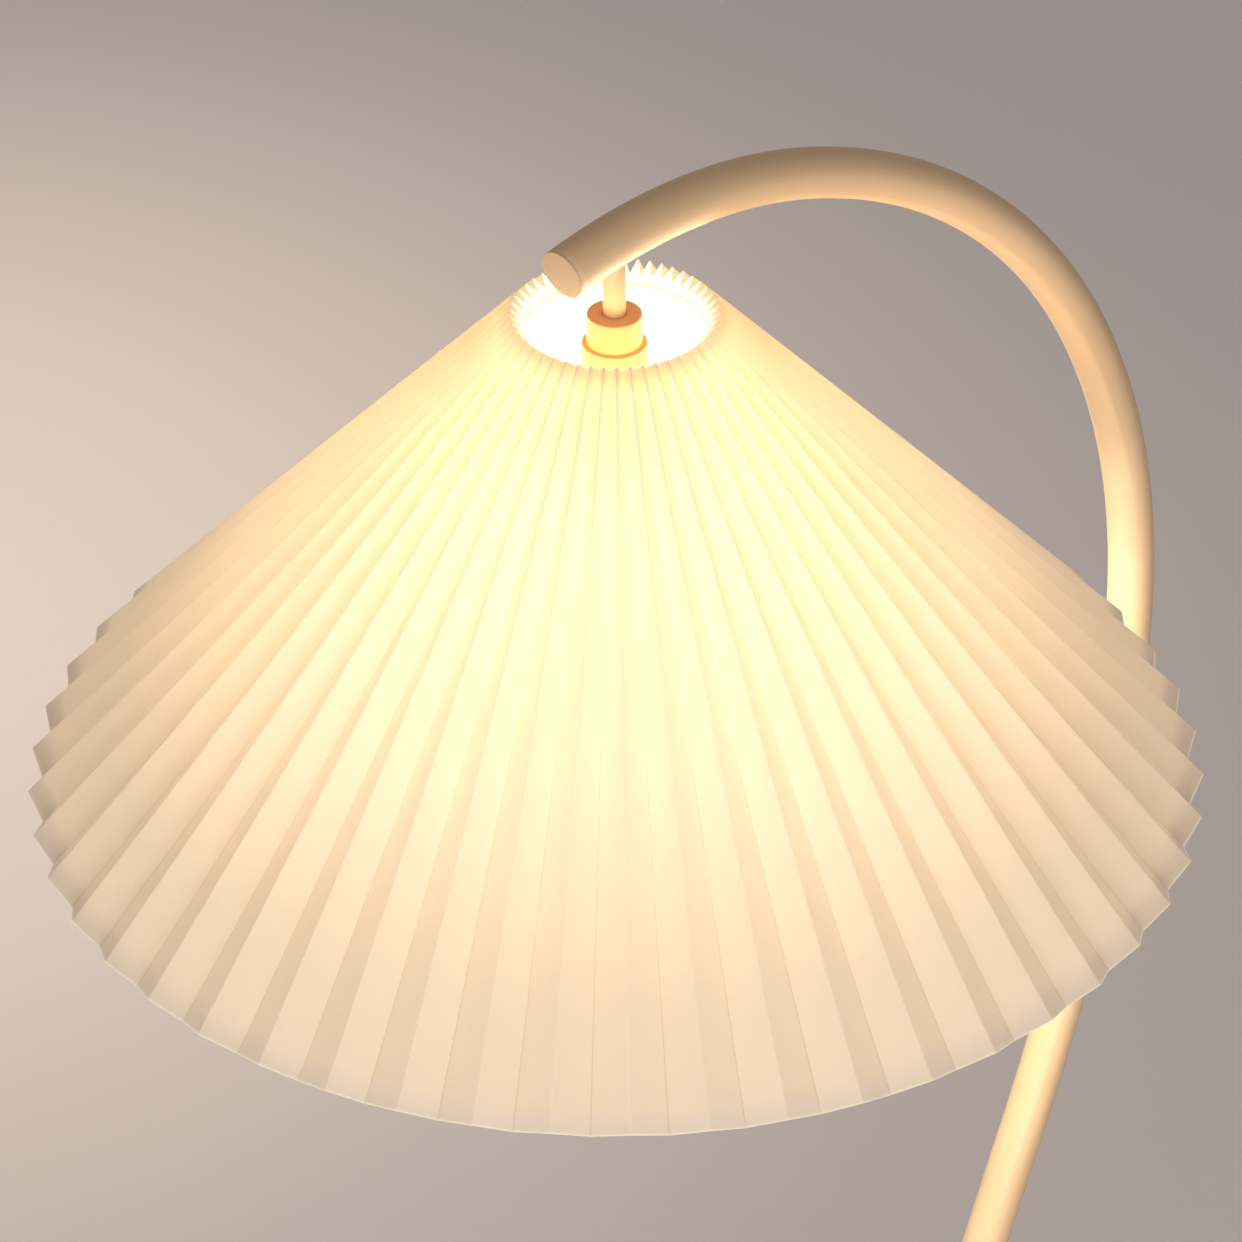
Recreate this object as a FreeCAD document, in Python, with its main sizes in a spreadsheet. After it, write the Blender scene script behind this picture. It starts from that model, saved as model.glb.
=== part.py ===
"""Arc floor lamp: a bent steel tube on a weighted round base carries a pleated conical shade.

Frame: millimetres, +Z up. The origin is on the floor under the centre of the base. The tube lies
in the XZ plane: its leg leans towards +X, and its arc comes back over the base towards -X.
"""
import FreeCAD
import Part
import Sketcher
import math
import os

from FreeCAD import Placement, Rotation, Vector

# Driving dimensions: name, value in millimetres (degrees for a turn, lean or azimuth), what it is.
DIMENSIONS = [
    ("fit_gap", 0.1, "clearance of pieces that are slid together"),
    ("loose_gap", 0.3, "clearance round covers, plates and soft pieces"),
    # base
    ("base_diameter", 280, "outside of the base cover"),
    ("base_height", 22, "floor to the top of the base cover"),
    ("cover_wall", 1.5, "pressed steel of the base cover"),
    ("cover_edge_radius", 5, "rolled edge of the base cover"),
    ("bottom_plate_thickness", 1.5, "plate that closes the base"),
    ("pad_diameter", 18, "rubber pad under the base"),
    ("pad_thickness", 3, "rubber pad under the base"),
    ("pad_circle_diameter", 236, "circle that the pads stand on"),
    ("wiring_depth", 12, "channel and nut recess in the underside of the weight"),
    ("wiring_width", 13, "channel in the underside of the weight"),
    ("plate_screw_diameter", 4, "screws of the bottom plate"),
    ("plate_screw_length", 10, "screws of the bottom plate"),
    ("plate_screw_circle_diameter", 190, "circle of the bottom plate's screws"),
    # what holds the tube on the base
    ("stud_diameter", 14, "hollow stud through the base"),
    ("stud_bore_diameter", 8, "way for the lead through the stud"),
    ("base_nut_flats", 19, "nut on the stud"),
    ("base_nut_height", 5, "nut on the stud"),
    ("base_washer_diameter", 28, "washer under the weight"),
    ("base_washer_thickness", 2, "washer under the weight"),
    ("socket_diameter", 34, "collar that the tube stands in"),
    ("socket_height", 42, "collar that the tube stands in"),
    ("socket_floor", 14, "solid lower part of the collar"),
    ("grub_diameter", 5, "screws that lock the tube in the collar"),
    # cord inlet
    ("gland_flange_diameter", 12.6, "outer rim of the cord gland"),
    ("gland_flange_thickness", 2, "outer rim of the cord gland"),
    ("gland_neck_diameter", 10, "gland inside the cover"),
    ("gland_length", 16, "gland from its rim inwards"),
    ("gland_bore_diameter", 7, "way for the mains cord"),
    ("gland_height", 10.5, "centre of the gland over the floor"),
    ("terminal_length", 30, "terminal block"),
    ("terminal_width", 11, "terminal block"),
    ("terminal_height", 9, "terminal block"),
    ("terminal_distance", 50, "base axis to the near end of the terminal block"),
    # foot switch
    ("switch_distance", 88, "base axis to the switch axis"),
    ("switch_diameter", 30, "switch housing"),
    ("switch_wall", 2, "switch housing"),
    ("switch_floor", 3, "switch housing"),
    ("button_diameter", 22, "foot button"),
    ("button_flange_diameter", 25.2, "rim that keeps the button in"),
    ("button_flange_thickness", 2, "rim that keeps the button in"),
    ("button_rise", 5, "button top over its bezel"),
    ("bezel_diameter", 34, "ring round the button"),
    ("bezel_thickness", 2, "ring round the button"),
    ("spring_diameter", 14, "switch spring, to the middle of its wire"),
    ("spring_wire_diameter", 1, "switch spring"),
    ("spring_turns", 4, "switch spring"),
    # tube
    ("tube_diameter", 22, "outside of the tube"),
    ("tube_wall", 1.5, "wall of the tube"),
    ("foot_rise", 44, "straight foot of the tube, from its end"),
    ("foot_bend_radius", 180, "bend from the foot into the leg"),
    ("lean_angle", 22.68, "leg from the vertical"),
    ("lower_leg_length", 325, "straight part of the lower tube"),
    ("middle_leg_length", 325, "middle tube"),
    ("upper_leg_length", 119.5, "straight part of the arc tube"),
    ("rising_radius", 756.8, "first bend of the arc, centreline"),
    ("rising_turn", 21.31, "first bend of the arc"),
    ("crown_radius", 352.2, "second bend of the arc, centreline"),
    ("crown_turn", 71.63, "second bend of the arc"),
    ("nose_radius", 273.1, "last bend of the arc, centreline"),
    ("nose_turn", 30.25, "last bend of the arc"),
    ("coupler_length", 60, "sleeve inside a tube joint"),
    ("coupler_wall", 3, "sleeve inside a tube joint"),
    ("tip_cap_thickness", 1.2, "end cap of the tube"),
    ("tip_cap_plug_length", 8, "part of the end cap inside the tube"),
    ("lead_diameter", 3.6, "lead inside the tube"),
    ("lead_bend_radius", 5, "lead where it turns into the stud and the rod"),
    ("lead_height", 7, "lead over the floor inside the base"),
    # hanger and lampholder
    ("hanger_setback", 29.5, "tube end to the rod, along the tube"),
    ("rod_diameter", 9.6, "hanger rod"),
    ("rod_bore_diameter", 6.4, "way for the lead through the rod"),
    ("rod_exposed_length", 24, "tube to lampholder cap"),
    ("rod_nut_flats", 14, "nuts on the rod"),
    ("rod_nut_height", 3.5, "nuts on the rod"),
    ("rod_grip", 8, "rod inside the lampholder cap"),
    ("saddle_diameter", 15, "curved washer inside the tube"),
    ("holder_cap_diameter", 23.2, "upper step of the lampholder"),
    ("holder_cap_height", 13.8, "upper step of the lampholder"),
    ("holder_wall", 1.4, "lampholder cap and body"),
    ("holder_roof", 2, "lampholder cap and body"),
    ("holder_diameter", 27.6, "lampholder body"),
    ("holder_length", 46, "lampholder body"),
    ("holder_spigot", 4, "part of the body inside the cap"),
    ("insert_roof", 4, "insulator over the screw shell"),
    ("shell_bore_diameter", 14, "screw shell for the bulb"),
    ("shell_wall", 0.5, "screw shell for the bulb"),
    ("shell_length", 26, "screw shell for the bulb"),
    ("ring_diameter", 38, "threaded rings over and under the shade's hub"),
    ("ring_height", 5, "threaded rings over and under the shade's hub"),
    # shade
    ("shade_bottom_diameter", 510, "over the folds at the lower edge"),
    ("shade_top_diameter", 86.2, "over the folds at the upper edge"),
    ("shade_height", 229.2, "between the outer folds' ends"),
    ("shade_over_cap", 0.8, "upper edge over the lampholder cap's top"),
    ("pleat_depth", 8, "folds, square to the wall"),
    ("pleat_count", 50, "folds round the shade"),
    ("wire_diameter", 3.2, "wires of the shade's frame"),
    ("top_wire_inset", 5, "upper edge to the upper wire ring, along the wall"),
    ("bottom_wire_inset", 7, "lower edge to the lower wire ring, along the wall"),
    ("hub_diameter", 36, "ring in the middle of the shade's frame"),
    ("hub_height", 3, "ring in the middle of the shade's frame"),
    ("hub_depth", 46.5, "lampholder cap's top to the hub's top"),
    ("first_strut_azimuth", -137.3, "first wire from the upper to the lower ring"),
    # bulb
    ("globe_diameter", 45, "glass of the bulb"),
    ("globe_wall", 1, "glass of the bulb"),
    ("globe_drop", 56, "top of the bulb's screw cap to the middle of its glass"),
    ("bulb_neck_diameter", 17, "glass where it leaves the collar"),
    ("bulb_collar_diameter", 20, "plastic skirt of the bulb"),
    ("bulb_collar_height", 9, "plastic skirt of the bulb"),
    ("bulb_cap_length", 22, "screw cap of the bulb"),
    ("bulb_insulator_height", 2, "insulator over the screw cap"),
    ("bulb_tip_diameter", 5, "end contact of the bulb"),
    ("bulb_tip_height", 1.4, "end contact of the bulb"),
    ("contact_gap", 0.2, "lampholder's contact over the bulb's"),
    ("contact_thickness", 0.8, "lampholder's contact"),
    ("emitter_diameter", 9, "light source inside the glass"),
    ("emitter_length", 26, "light source inside the glass"),
]

STRUT_PLEATS = (0, 17, 33)  # the struts lie in these folds, counted from the first strut
PAD_COUNT = 6
PLATE_SCREW_COUNT = 4
MIN_VOLUME = 0.5  # mm3: a piece smaller than this has failed


class Size:
    """A number together with the expression that gives it in the document."""

    def __init__(self, value, text):
        self.value = float(value)
        self.text = text

    @staticmethod
    def of(other):
        return other if isinstance(other, Size) else Size(other, repr(float(other)))

    def _join(self, sign, other, value):
        return Size(value, f"({self.text} {sign} {Size.of(other).text})")

    def __add__(self, other):
        return self._join("+", other, self.value + Size.of(other).value)

    def __sub__(self, other):
        return self._join("-", other, self.value - Size.of(other).value)

    def __mul__(self, other):
        return self._join("*", other, self.value * Size.of(other).value)

    def __truediv__(self, other):
        return self._join("/", other, self.value / Size.of(other).value)

    def __neg__(self):
        return Size(-self.value, f"(0 - {self.text})")


ZERO = Size(0, "0")


def sine(angle):
    return Size(math.sin(math.radians(angle.value)), f"sin({angle.text})")


def cosine(angle):
    return Size(math.cos(math.radians(angle.value)), f"cos({angle.text})")


def root(square):
    return Size(math.sqrt(square.value), f"sqrt({square.text})")


def make_sheet(doc):
    """The spreadsheet of driving dimensions, and each of them as a Size."""
    sheet = doc.addObject("Spreadsheet::Sheet", "Sizes")
    for row, (name, value, note) in enumerate(DIMENSIONS, start=1):
        sheet.set(f"A{row}", name)
        sheet.set(f"B{row}", str(value))
        sheet.set(f"C{row}", note)
        sheet.setAlias(f"B{row}", name)
    doc.recompute()
    return {name: Size(sheet.get(name), f"Sizes.{name}") for name, _, _ in DIMENSIONS}


doc = FreeCAD.newDocument("arc_floor_lamp")
D = make_sheet(doc)


# --- helpers -------------------------------------------------------------------------------------


def skeleton_point(name, x, z):
    """A named point of the lamp's skeleton, bound to the sheet. Returns its place as two Sizes."""
    point = doc.addObject("Part::Vertex", name)
    point.setExpression("X", x.text)
    point.setExpression("Z", z.text)
    doc.recompute()
    return Size(point.X, f"({name}.X / 1 mm)"), Size(point.Z, f"({name}.Z / 1 mm)")


def bind(obj, **sizes):
    """Binds properties to sizes, such as Radius=D["rod_diameter"] / 2."""
    for name, size in sizes.items():
        obj.setExpression(name, Size.of(size).text)
    return obj


def place(obj, x=ZERO, y=ZERO, z=ZERO, turn=None):
    """Puts an object at x, y, z, turned by a Rotation."""
    spot = [Size.of(c) for c in (x, y, z)]
    obj.Placement = Placement(Vector(*[c.value for c in spot]), turn or Rotation())
    for axis, size in zip("xyz", spot):
        obj.setExpression(f"Placement.Base.{axis}", size.text)
    return obj


def origin_plane(body, role):
    return next(f for f in body.Origin.OriginFeatures if f.Role == role)


def bind_vertex(sketch, line, x, y):
    """Holds a line's start at x, y from the sketch's origin."""
    for kind, axis, size in (("DistanceX", -2, x), ("DistanceY", -1, y)):
        if abs(size.value) < 1e-9:
            sketch.addConstraint(Sketcher.Constraint("PointOnObject", line, 1, axis))
            continue
        index = sketch.addConstraint(Sketcher.Constraint(kind, -1, 1, line, 1, size.value))
        sketch.setExpression(f"Constraints[{index}]", size.text)


def outline_sketch(body, name, plane, outline):
    """A closed outline of straight edges through corners given as pairs of Sizes."""
    sketch = body.newObject("Sketcher::SketchObject", name)
    sketch.AttachmentSupport = [(origin_plane(body, plane), "")]
    sketch.MapMode = "FlatFace"
    corners = [(Size.of(x), Size.of(y)) for x, y in outline]
    spots = [Vector(x.value, y.value, 0) for x, y in corners]
    for start, end in zip(spots, spots[1:] + spots[:1]):
        sketch.addGeometry(Part.LineSegment(start, end), False)
    count = len(corners)
    for line in range(count):
        sketch.addConstraint(Sketcher.Constraint("Coincident", line, 2, (line + 1) % count, 1))
    for line, (x, y) in enumerate(corners):
        bind_vertex(sketch, line, x, y)
    return sketch


def turned(label, outline, x=ZERO, z=ZERO):
    """A piece turned about a vertical axis at x, from an outline of (radius, height over z)."""
    body = doc.addObject("PartDesign::Body", label)
    body.Label = label
    sketch = outline_sketch(body, label + "_outline", "XZ_Plane", outline)
    solid = body.newObject("PartDesign::Revolution", label + "_turned")
    solid.Profile = sketch
    solid.ReferenceAxis = (sketch, ["V_Axis"])
    solid.Angle = 360.0
    body.Tip = solid
    place(body, x=x, z=z)
    doc.recompute()
    return body


def ring_outline(inner, outer, height):
    """Outline of a plain ring, or of a disc where the inner radius is nought."""
    return [(inner, ZERO), (outer, ZERO), (outer, height), (inner, height)]


def round_edges(body, radius, chosen):
    """Fillets the edges of a body's tip for which chosen(edge) is true."""
    base = body.Tip
    names = [f"Edge{n}" for n, edge in enumerate(base.Shape.Edges, start=1) if chosen(edge)]
    fillet = body.newObject("PartDesign::Fillet", body.Label + "_edge")
    fillet.Base = (base, names)
    fillet.setExpression("Radius", radius.text)
    body.Tip = fillet
    doc.recompute()
    return body


def circle_at(radius, height):
    """Tests for a body's full circular edge of this radius at this height of its own."""

    def chosen(edge):
        curve = edge.Curve
        return (
            isinstance(curve, Part.Circle)
            and abs(curve.Radius - radius.value) < 0.01
            and abs(curve.Center.z - height.value) < 0.01
        )

    return chosen


def cylinder(name, radius, height, x=ZERO, y=ZERO, z=ZERO, turn=None):
    rod = doc.addObject("Part::Cylinder", name)
    bind(rod, Radius=radius, Height=height)
    return place(rod, x, y, z, turn)


def block(name, length, width, height, x=ZERO, y=ZERO, z=ZERO):
    box = doc.addObject("Part::Box", name)
    bind(box, Length=length, Width=width, Height=height)
    return place(box, x, y, z)


def cut(label, base, *tools):
    """The base less the tools, which stay its inputs."""
    for number, tool in enumerate(tools, start=1):
        last = number == len(tools)
        less = doc.addObject("Part::Cut", label if last else f"{label}_cut_{number}")
        less.Base = base
        less.Tool = tool
        base = less
    base.Label = label
    return base


def group(label, members):
    """Several separate solids that make one node."""
    bundle = doc.addObject("Part::Compound", label)
    bundle.Links = members
    bundle.Label = label
    return bundle


def hex_nut(label, flats, height, bore, x, z):
    """A hexagon nut whose flats face +Y and -Y."""
    prism = doc.addObject("Part::Prism", label + "_blank")
    prism.Polygon = 6
    bind(prism, Circumradius=flats / math.sqrt(3), Height=height)
    place(prism, x=x, z=z)
    hole = cylinder(label + "_hole", bore / 2, height + 2, x=x, z=z - 1)
    return cut(label, prism, hole)


class Walk:
    """A path in the XZ plane of straight runs and tangent bends, for tubes and leads."""

    def __init__(self, x, z, heading):
        self.x, self.z, self.heading = x, z, heading
        self.edges, self.length = [], 0.0

    def direction(self, heading=None):
        angle = math.radians(self.heading if heading is None else heading)
        return Vector(math.cos(angle), 0, math.sin(angle))

    def spot(self):
        return Vector(self.x, 0, self.z)

    def run(self, length):
        start = self.spot()
        end = start + self.direction() * length
        self.edges.append(Part.LineSegment(start, end).toShape())
        self._arrive(end, length)
        return self

    def bend(self, radius, turn):
        """Turns left by a positive number of degrees, or right by a negative one."""
        side = 1 if turn > 0 else -1
        centre = self.spot() + self.direction(self.heading + 90 * side) * radius
        middle, end = [
            centre + self.direction(self.heading - 90 * side + turn * part) * radius
            for part in (0.5, 1)
        ]
        self.edges.append(Part.Arc(self.spot(), middle, end).toShape())
        self.heading += turn
        self._arrive(end, math.radians(abs(turn)) * radius)
        return self

    def _arrive(self, end, length):
        self.x, self.z = end.x, end.z
        self.length += length


def swept(label, start, heading, edges, radius, length):
    """A round bar of one radius along a path, checked against its section times its length."""
    path = Part.Wire(edges)
    section = Part.Wire(Part.Circle(start, heading, radius).toShape())
    bar = path.makePipe(Part.Face(section))
    expected = math.pi * radius**2 * length
    if not bar.isValid() or abs(bar.Volume - expected) > 0.001 * expected:
        raise RuntimeError(f"{label}: the sweep is not a sound bar of its length")
    return bar


def bent_bar(label, walk, start, heading, radius):
    direction = Vector(math.cos(math.radians(heading)), 0, math.sin(math.radians(heading)))
    return swept(label, Vector(start[0], 0, start[1]), direction, walk.edges, radius, walk.length)


def feature(label, shape):
    """A piece whose exact shape is worked out here from the sheet's sizes."""
    piece = doc.addObject("Part::Feature", label)
    piece.Shape = shape
    piece.Placement = Placement()
    piece.Label = label
    return piece


# --- places that several pieces share --------------------------------------------------------------

tube_radius = D["tube_diameter"] / 2
bore_radius = tube_radius - D["tube_wall"]
plate_top = D["pad_thickness"] + D["bottom_plate_thickness"]
weight_top = D["base_height"] - D["cover_wall"]
wiring_roof = plate_top + D["wiring_depth"]
weight_radius = D["base_diameter"] / 2 - D["cover_wall"] - D["loose_gap"]
tube_foot = D["base_height"] + D["socket_floor"]
leg_length = D["lower_leg_length"] + D["middle_leg_length"] + D["upper_leg_length"]

# Headings of the tube, in degrees anticlockwise from +X, seen along +Y.
leg_heading = -D["lean_angle"] + 90
crown_heading = leg_heading + D["rising_turn"]
nose_heading = crown_heading + D["crown_turn"]
tip_heading = nose_heading + D["nose_turn"]
setback_turn = D["hanger_setback"] / D["nose_radius"] * (180 / math.pi)
hanger_heading = tip_heading - setback_turn


def after_bend(x, z, radius, start, end):
    """Where a left-hand bend ends, from where it starts and its two headings."""
    return x + radius * (sine(end) - sine(start)), z + radius * (cosine(start) - cosine(end))


leg_foot = skeleton_point(
    "LegFoot",
    D["foot_bend_radius"] * (-cosine(D["lean_angle"]) + 1),
    tube_foot + D["foot_rise"] + D["foot_bend_radius"] * sine(D["lean_angle"]),
)


def on_leg(name, distance):
    """A point of the leg's centreline, at a distance from its foot."""
    return skeleton_point(
        name,
        leg_foot[0] + distance * sine(D["lean_angle"]),
        leg_foot[1] + distance * cosine(D["lean_angle"]),
    )


lower_joint = on_leg("LowerJoint", D["lower_leg_length"])
upper_joint = on_leg("UpperJoint", D["lower_leg_length"] + D["middle_leg_length"])
leg_top = on_leg("LegTop", leg_length)
crown_start = skeleton_point(
    "CrownStart", *after_bend(*leg_top, D["rising_radius"], leg_heading, crown_heading)
)
nose_start = skeleton_point(
    "NoseStart", *after_bend(*crown_start, D["crown_radius"], crown_heading, nose_heading)
)
hanger = skeleton_point(
    "Hanger", *after_bend(*nose_start, D["nose_radius"], nose_heading, hanger_heading)
)
tip = skeleton_point("Tip", *after_bend(*nose_start, D["nose_radius"], nose_heading, tip_heading))

shade_x = hanger[0]
cap_top = hanger[1] - tube_radius / cosine(-hanger_heading + 180) - D["rod_exposed_length"]
body_top = cap_top - D["holder_cap_height"]
body_bottom = body_top - D["holder_length"]
hub_top = cap_top - D["hub_depth"]
hub_bottom = hub_top - D["hub_height"]
shade_top = cap_top + D["shade_over_cap"]
shade_bottom = shade_top - D["shade_height"]


# --- base ------------------------------------------------------------------------------------------


def around(count, radius, first=0.0):
    """Places evenly spaced on a circle about the base's axis, as pairs of Sizes."""
    for step in range(count):
        angle = Size.of(first + 360 * step / count)
        yield radius * cosine(angle), radius * sine(angle)


def base_pads():
    pads = [
        cylinder(f"pad_{n}", D["pad_diameter"] / 2, D["pad_thickness"], x, y)
        for n, (x, y) in enumerate(around(PAD_COUNT, D["pad_circle_diameter"] / 2, 30.0))
    ]
    pads.append(cylinder("pad_centre", D["pad_diameter"] / 2, D["pad_thickness"]))
    return group("base_pads", pads)


def plate_screw_places():
    return list(around(PLATE_SCREW_COUNT, D["plate_screw_circle_diameter"] / 2, 45.0))


def plate_screws():
    """Countersunk screws, their heads flush with the underside of the plate."""
    screws = []
    radius = D["plate_screw_diameter"] / 2
    for n, (x, y) in enumerate(plate_screw_places()):
        head = doc.addObject("Part::Cone", f"screw_head_{n}")
        bind(head, Radius1=radius * 2, Radius2=radius, Height=D["bottom_plate_thickness"])
        place(head, x, y, D["pad_thickness"])
        shank = cylinder(f"screw_shank_{n}", radius, D["plate_screw_length"], x, y, D["pad_thickness"])
        screw = doc.addObject("Part::Fuse", f"plate_screw_{n}")
        screw.Base, screw.Tool = head, shank
        screws.append(screw)
    return group("plate_screws", screws)


def countersinks(name, clearance):
    holes = []
    radius = D["plate_screw_diameter"] / 2 + clearance
    for n, (x, y) in enumerate(plate_screw_places()):
        hole = doc.addObject("Part::Cone", f"{name}_{n}")
        bind(hole, Radius1=radius * 2, Radius2=radius, Height=D["bottom_plate_thickness"])
        holes.append(place(hole, x, y, D["pad_thickness"]))
    return holes


def bottom_plate():
    blank = cylinder(
        "plate_blank", weight_radius, D["bottom_plate_thickness"], z=D["pad_thickness"]
    )
    return cut("bottom_plate", blank, *countersinks("countersink", D["fit_gap"]))


def base_weight():
    """Cast disc with a recess for the nut, a channel for the leads and a seat for the switch."""
    height = weight_top - plate_top
    blank = cylinder("weight_blank", weight_radius, height, z=plate_top)
    stud_hole = cylinder(
        "weight_stud_hole", D["stud_diameter"] / 2 + D["fit_gap"], height + 2, z=plate_top - 1
    )
    recess = cylinder(
        "weight_recess", D["base_washer_diameter"] / 2 + 1, D["wiring_depth"] + 1, z=plate_top - 1
    )
    channel = block(
        "weight_channel",
        D["switch_distance"] + weight_radius + 1,
        D["wiring_width"],
        D["wiring_depth"] + 1,
        x=-D["switch_distance"],
        y=-D["wiring_width"] / 2,
        z=plate_top - 1,
    )
    seat = cylinder(
        "weight_switch_seat",
        D["switch_diameter"] / 2 + D["loose_gap"],
        height + 2,
        x=-D["switch_distance"],
        z=plate_top - 1,
    )
    screw_holes = [
        cylinder(
            f"weight_screw_hole_{n}",
            D["plate_screw_diameter"] / 2 + D["fit_gap"] / 2,
            D["plate_screw_length"] + 1,
            x,
            y,
            plate_top - 1,
        )
        for n, (x, y) in enumerate(plate_screw_places())
    ]
    return cut("base_weight", blank, stud_hole, recess, channel, seat, *screw_holes)


def base_cover():
    """Pressed cover with a rolled edge, open below, with holes for the stud, switch and gland."""
    outer, wall = D["base_diameter"] / 2, D["cover_wall"]
    hole = D["stud_diameter"] / 2 + D["fit_gap"]
    height = D["base_height"] - D["pad_thickness"]
    shell = turned(
        "cover_shell",
        [
            (hole, height - wall),
            (outer - wall, height - wall),
            (outer - wall, ZERO),
            (outer, ZERO),
            (outer, height),
            (hole, height),
        ],
        z=D["pad_thickness"],
    )
    round_edges(shell, D["cover_edge_radius"], circle_at(outer, height))
    switch_hole = cylinder(
        "cover_switch_hole",
        D["button_flange_diameter"] / 2 + D["loose_gap"],
        wall + 2,
        x=-D["switch_distance"],
        z=weight_top - 1,
    )
    gland_hole = cylinder(
        "cover_gland_hole",
        D["gland_neck_diameter"] / 2 + D["fit_gap"],
        wall * 4,
        x=outer - wall * 3,
        z=D["gland_height"],
        turn=Rotation(Vector(0, 1, 0), 90),
    )
    return cut("base_cover", shell, switch_hole, gland_hole)


def base_fixings():
    stud_bottom = wiring_roof - D["base_washer_thickness"] - D["base_nut_height"]
    stud = turned(
        "base_stud",
        ring_outline(D["stud_bore_diameter"] / 2, D["stud_diameter"] / 2, tube_foot - stud_bottom),
        z=stud_bottom,
    )
    washer = turned(
        "base_washer",
        ring_outline(
            D["stud_diameter"] / 2 + D["fit_gap"],
            D["base_washer_diameter"] / 2,
            D["base_washer_thickness"],
        ),
        z=wiring_roof - D["base_washer_thickness"],
    )
    nut = hex_nut(
        "base_nut",
        D["base_nut_flats"],
        D["base_nut_height"],
        D["stud_diameter"] + D["fit_gap"],
        ZERO,
        stud_bottom,
    )
    return [stud, washer, nut]


def stem_socket():
    """Turned collar: the stud screws into its solid lower part and the tube stands on that."""
    outer, height, floor = D["socket_diameter"] / 2, D["socket_height"], D["socket_floor"]
    stud_hole = D["stud_diameter"] / 2 + D["fit_gap"] / 2
    bore = tube_radius + D["fit_gap"]
    collar = turned(
        "collar",
        [
            (stud_hole, ZERO), (outer, ZERO), (outer, height), (bore, height),
            (bore, floor), (stud_hole, floor),
        ],
        z=D["base_height"],
    )
    round_edges(collar, D["cover_wall"], circle_at(outer, height))
    holes = [
        cylinder(
            f"grub_hole_{n}", D["grub_diameter"] / 2 + D["fit_gap"] / 2, outer,
            z=grub_height(), turn=Rotation(Vector(1, 0, 0), angle),
        )
        for n, angle in enumerate((90, -90))
    ]
    return cut("stem_socket", collar, *holes)


def grub_height():
    """Halfway up the part of the collar that holds the tube."""
    return D["base_height"] + (D["socket_floor"] + D["socket_height"]) / 2


def socket_screws():
    """Two grub screws, just under the collar's surface, against the tube on both sides."""
    length = D["socket_diameter"] / 2 - tube_radius - D["cover_wall"]
    screws = [
        cylinder(
            f"grub_{n}", D["grub_diameter"] / 2, length,
            y=tube_radius * side, z=grub_height(), turn=Rotation(Vector(1, 0, 0), -90 * side),
        )
        for n, side in enumerate((1, -1))
    ]
    return group("socket_screws", screws)


def cord_gland():
    """Bush in the side of the cover, for the mains cord."""
    neck, rim, bore = [
        D[name] / 2 for name in ("gland_neck_diameter", "gland_flange_diameter", "gland_bore_diameter")
    ]
    length, flange = D["gland_length"], D["gland_flange_thickness"]
    gland = turned(
        "cord_gland",
        [
            (bore, ZERO), (neck, ZERO), (neck, length - flange), (rim, length - flange),
            (rim, length), (bore, length),
        ],
    )
    reach = D["base_diameter"] / 2 - (length - flange) + D["loose_gap"] / 3
    return place(gland, x=reach, z=D["gland_height"], turn=Rotation(Vector(0, 1, 0), 90))


def terminal_block():
    """Moulded block with two wire ways through it and a screw hole over each end of both."""
    length, width, height = D["terminal_length"], D["terminal_width"], D["terminal_height"]
    x, z = D["terminal_distance"], plate_top + D["loose_gap"]
    blank = block("terminal_blank", length, width, height, x, -width / 2, z)
    cuts = []
    for side in (-1, 1):
        y = width / 4 * side
        cuts.append(
            cylinder(
                f"terminal_way_{side + 1}", width / 8, length / 3, x + length * 2 / 3 + 1, y,
                z + height / 3, turn=Rotation(Vector(0, 1, 0), 90),
            )
        )
        for end in (1, 3):
            cuts.append(
                cylinder(
                    f"terminal_screw_{side + 1}_{end}", width / 7, height / 3 + 1,
                    x + length * end / 4, y, z + height * 2 / 3,
                )
            )
    return cut("terminal_block", blank, *cuts)


# --- foot switch -------------------------------------------------------------------------------------

switch_x = -D["switch_distance"]
switch_bottom = plate_top + D["loose_gap"]
switch_top = weight_top - D["loose_gap"]
cavity_floor = switch_bottom + D["switch_floor"]
bezel_neck_bottom = switch_top - D["fit_gap"] * 3
flange_top = bezel_neck_bottom - D["fit_gap"]
flange_bottom = flange_top - D["button_flange_thickness"]


def switch_housing():
    outer = D["switch_diameter"] / 2
    inner = outer - D["switch_wall"]
    floor, height = D["switch_floor"], switch_top - switch_bottom
    return turned(
        "switch_housing",
        [(ZERO, ZERO), (outer, ZERO), (outer, height), (inner, height), (inner, floor), (ZERO, floor)],
        x=switch_x,
        z=switch_bottom,
    )


def switch_bezel():
    """Ring on the cover, with a neck through it that stops the button's rim."""
    bore = D["button_diameter"] / 2 + D["fit_gap"]
    neck = D["switch_diameter"] / 2 - D["switch_wall"] - D["fit_gap"]
    neck_height = D["base_height"] - bezel_neck_bottom
    height = neck_height + D["bezel_thickness"]
    rim = D["bezel_diameter"] / 2
    bezel = turned(
        "switch_bezel",
        [
            (bore, ZERO), (neck, ZERO), (neck, neck_height), (rim, neck_height),
            (rim, height), (bore, height),
        ],
        x=switch_x,
        z=bezel_neck_bottom,
    )
    return round_edges(bezel, D["bezel_thickness"] / 2, circle_at(rim, height))


def foot_button():
    radius, rim = D["button_diameter"] / 2, D["button_flange_diameter"] / 2
    step = D["button_flange_thickness"]
    height = D["base_height"] + D["bezel_thickness"] + D["button_rise"] - flange_bottom
    button = turned(
        "foot_button",
        [
            (ZERO, ZERO), (rim, ZERO), (rim, step), (radius, step), (radius, height), (ZERO, height),
        ],
        x=switch_x,
        z=flange_bottom,
    )
    return round_edges(button, D["button_rise"] / 3, circle_at(radius, height))


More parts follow.
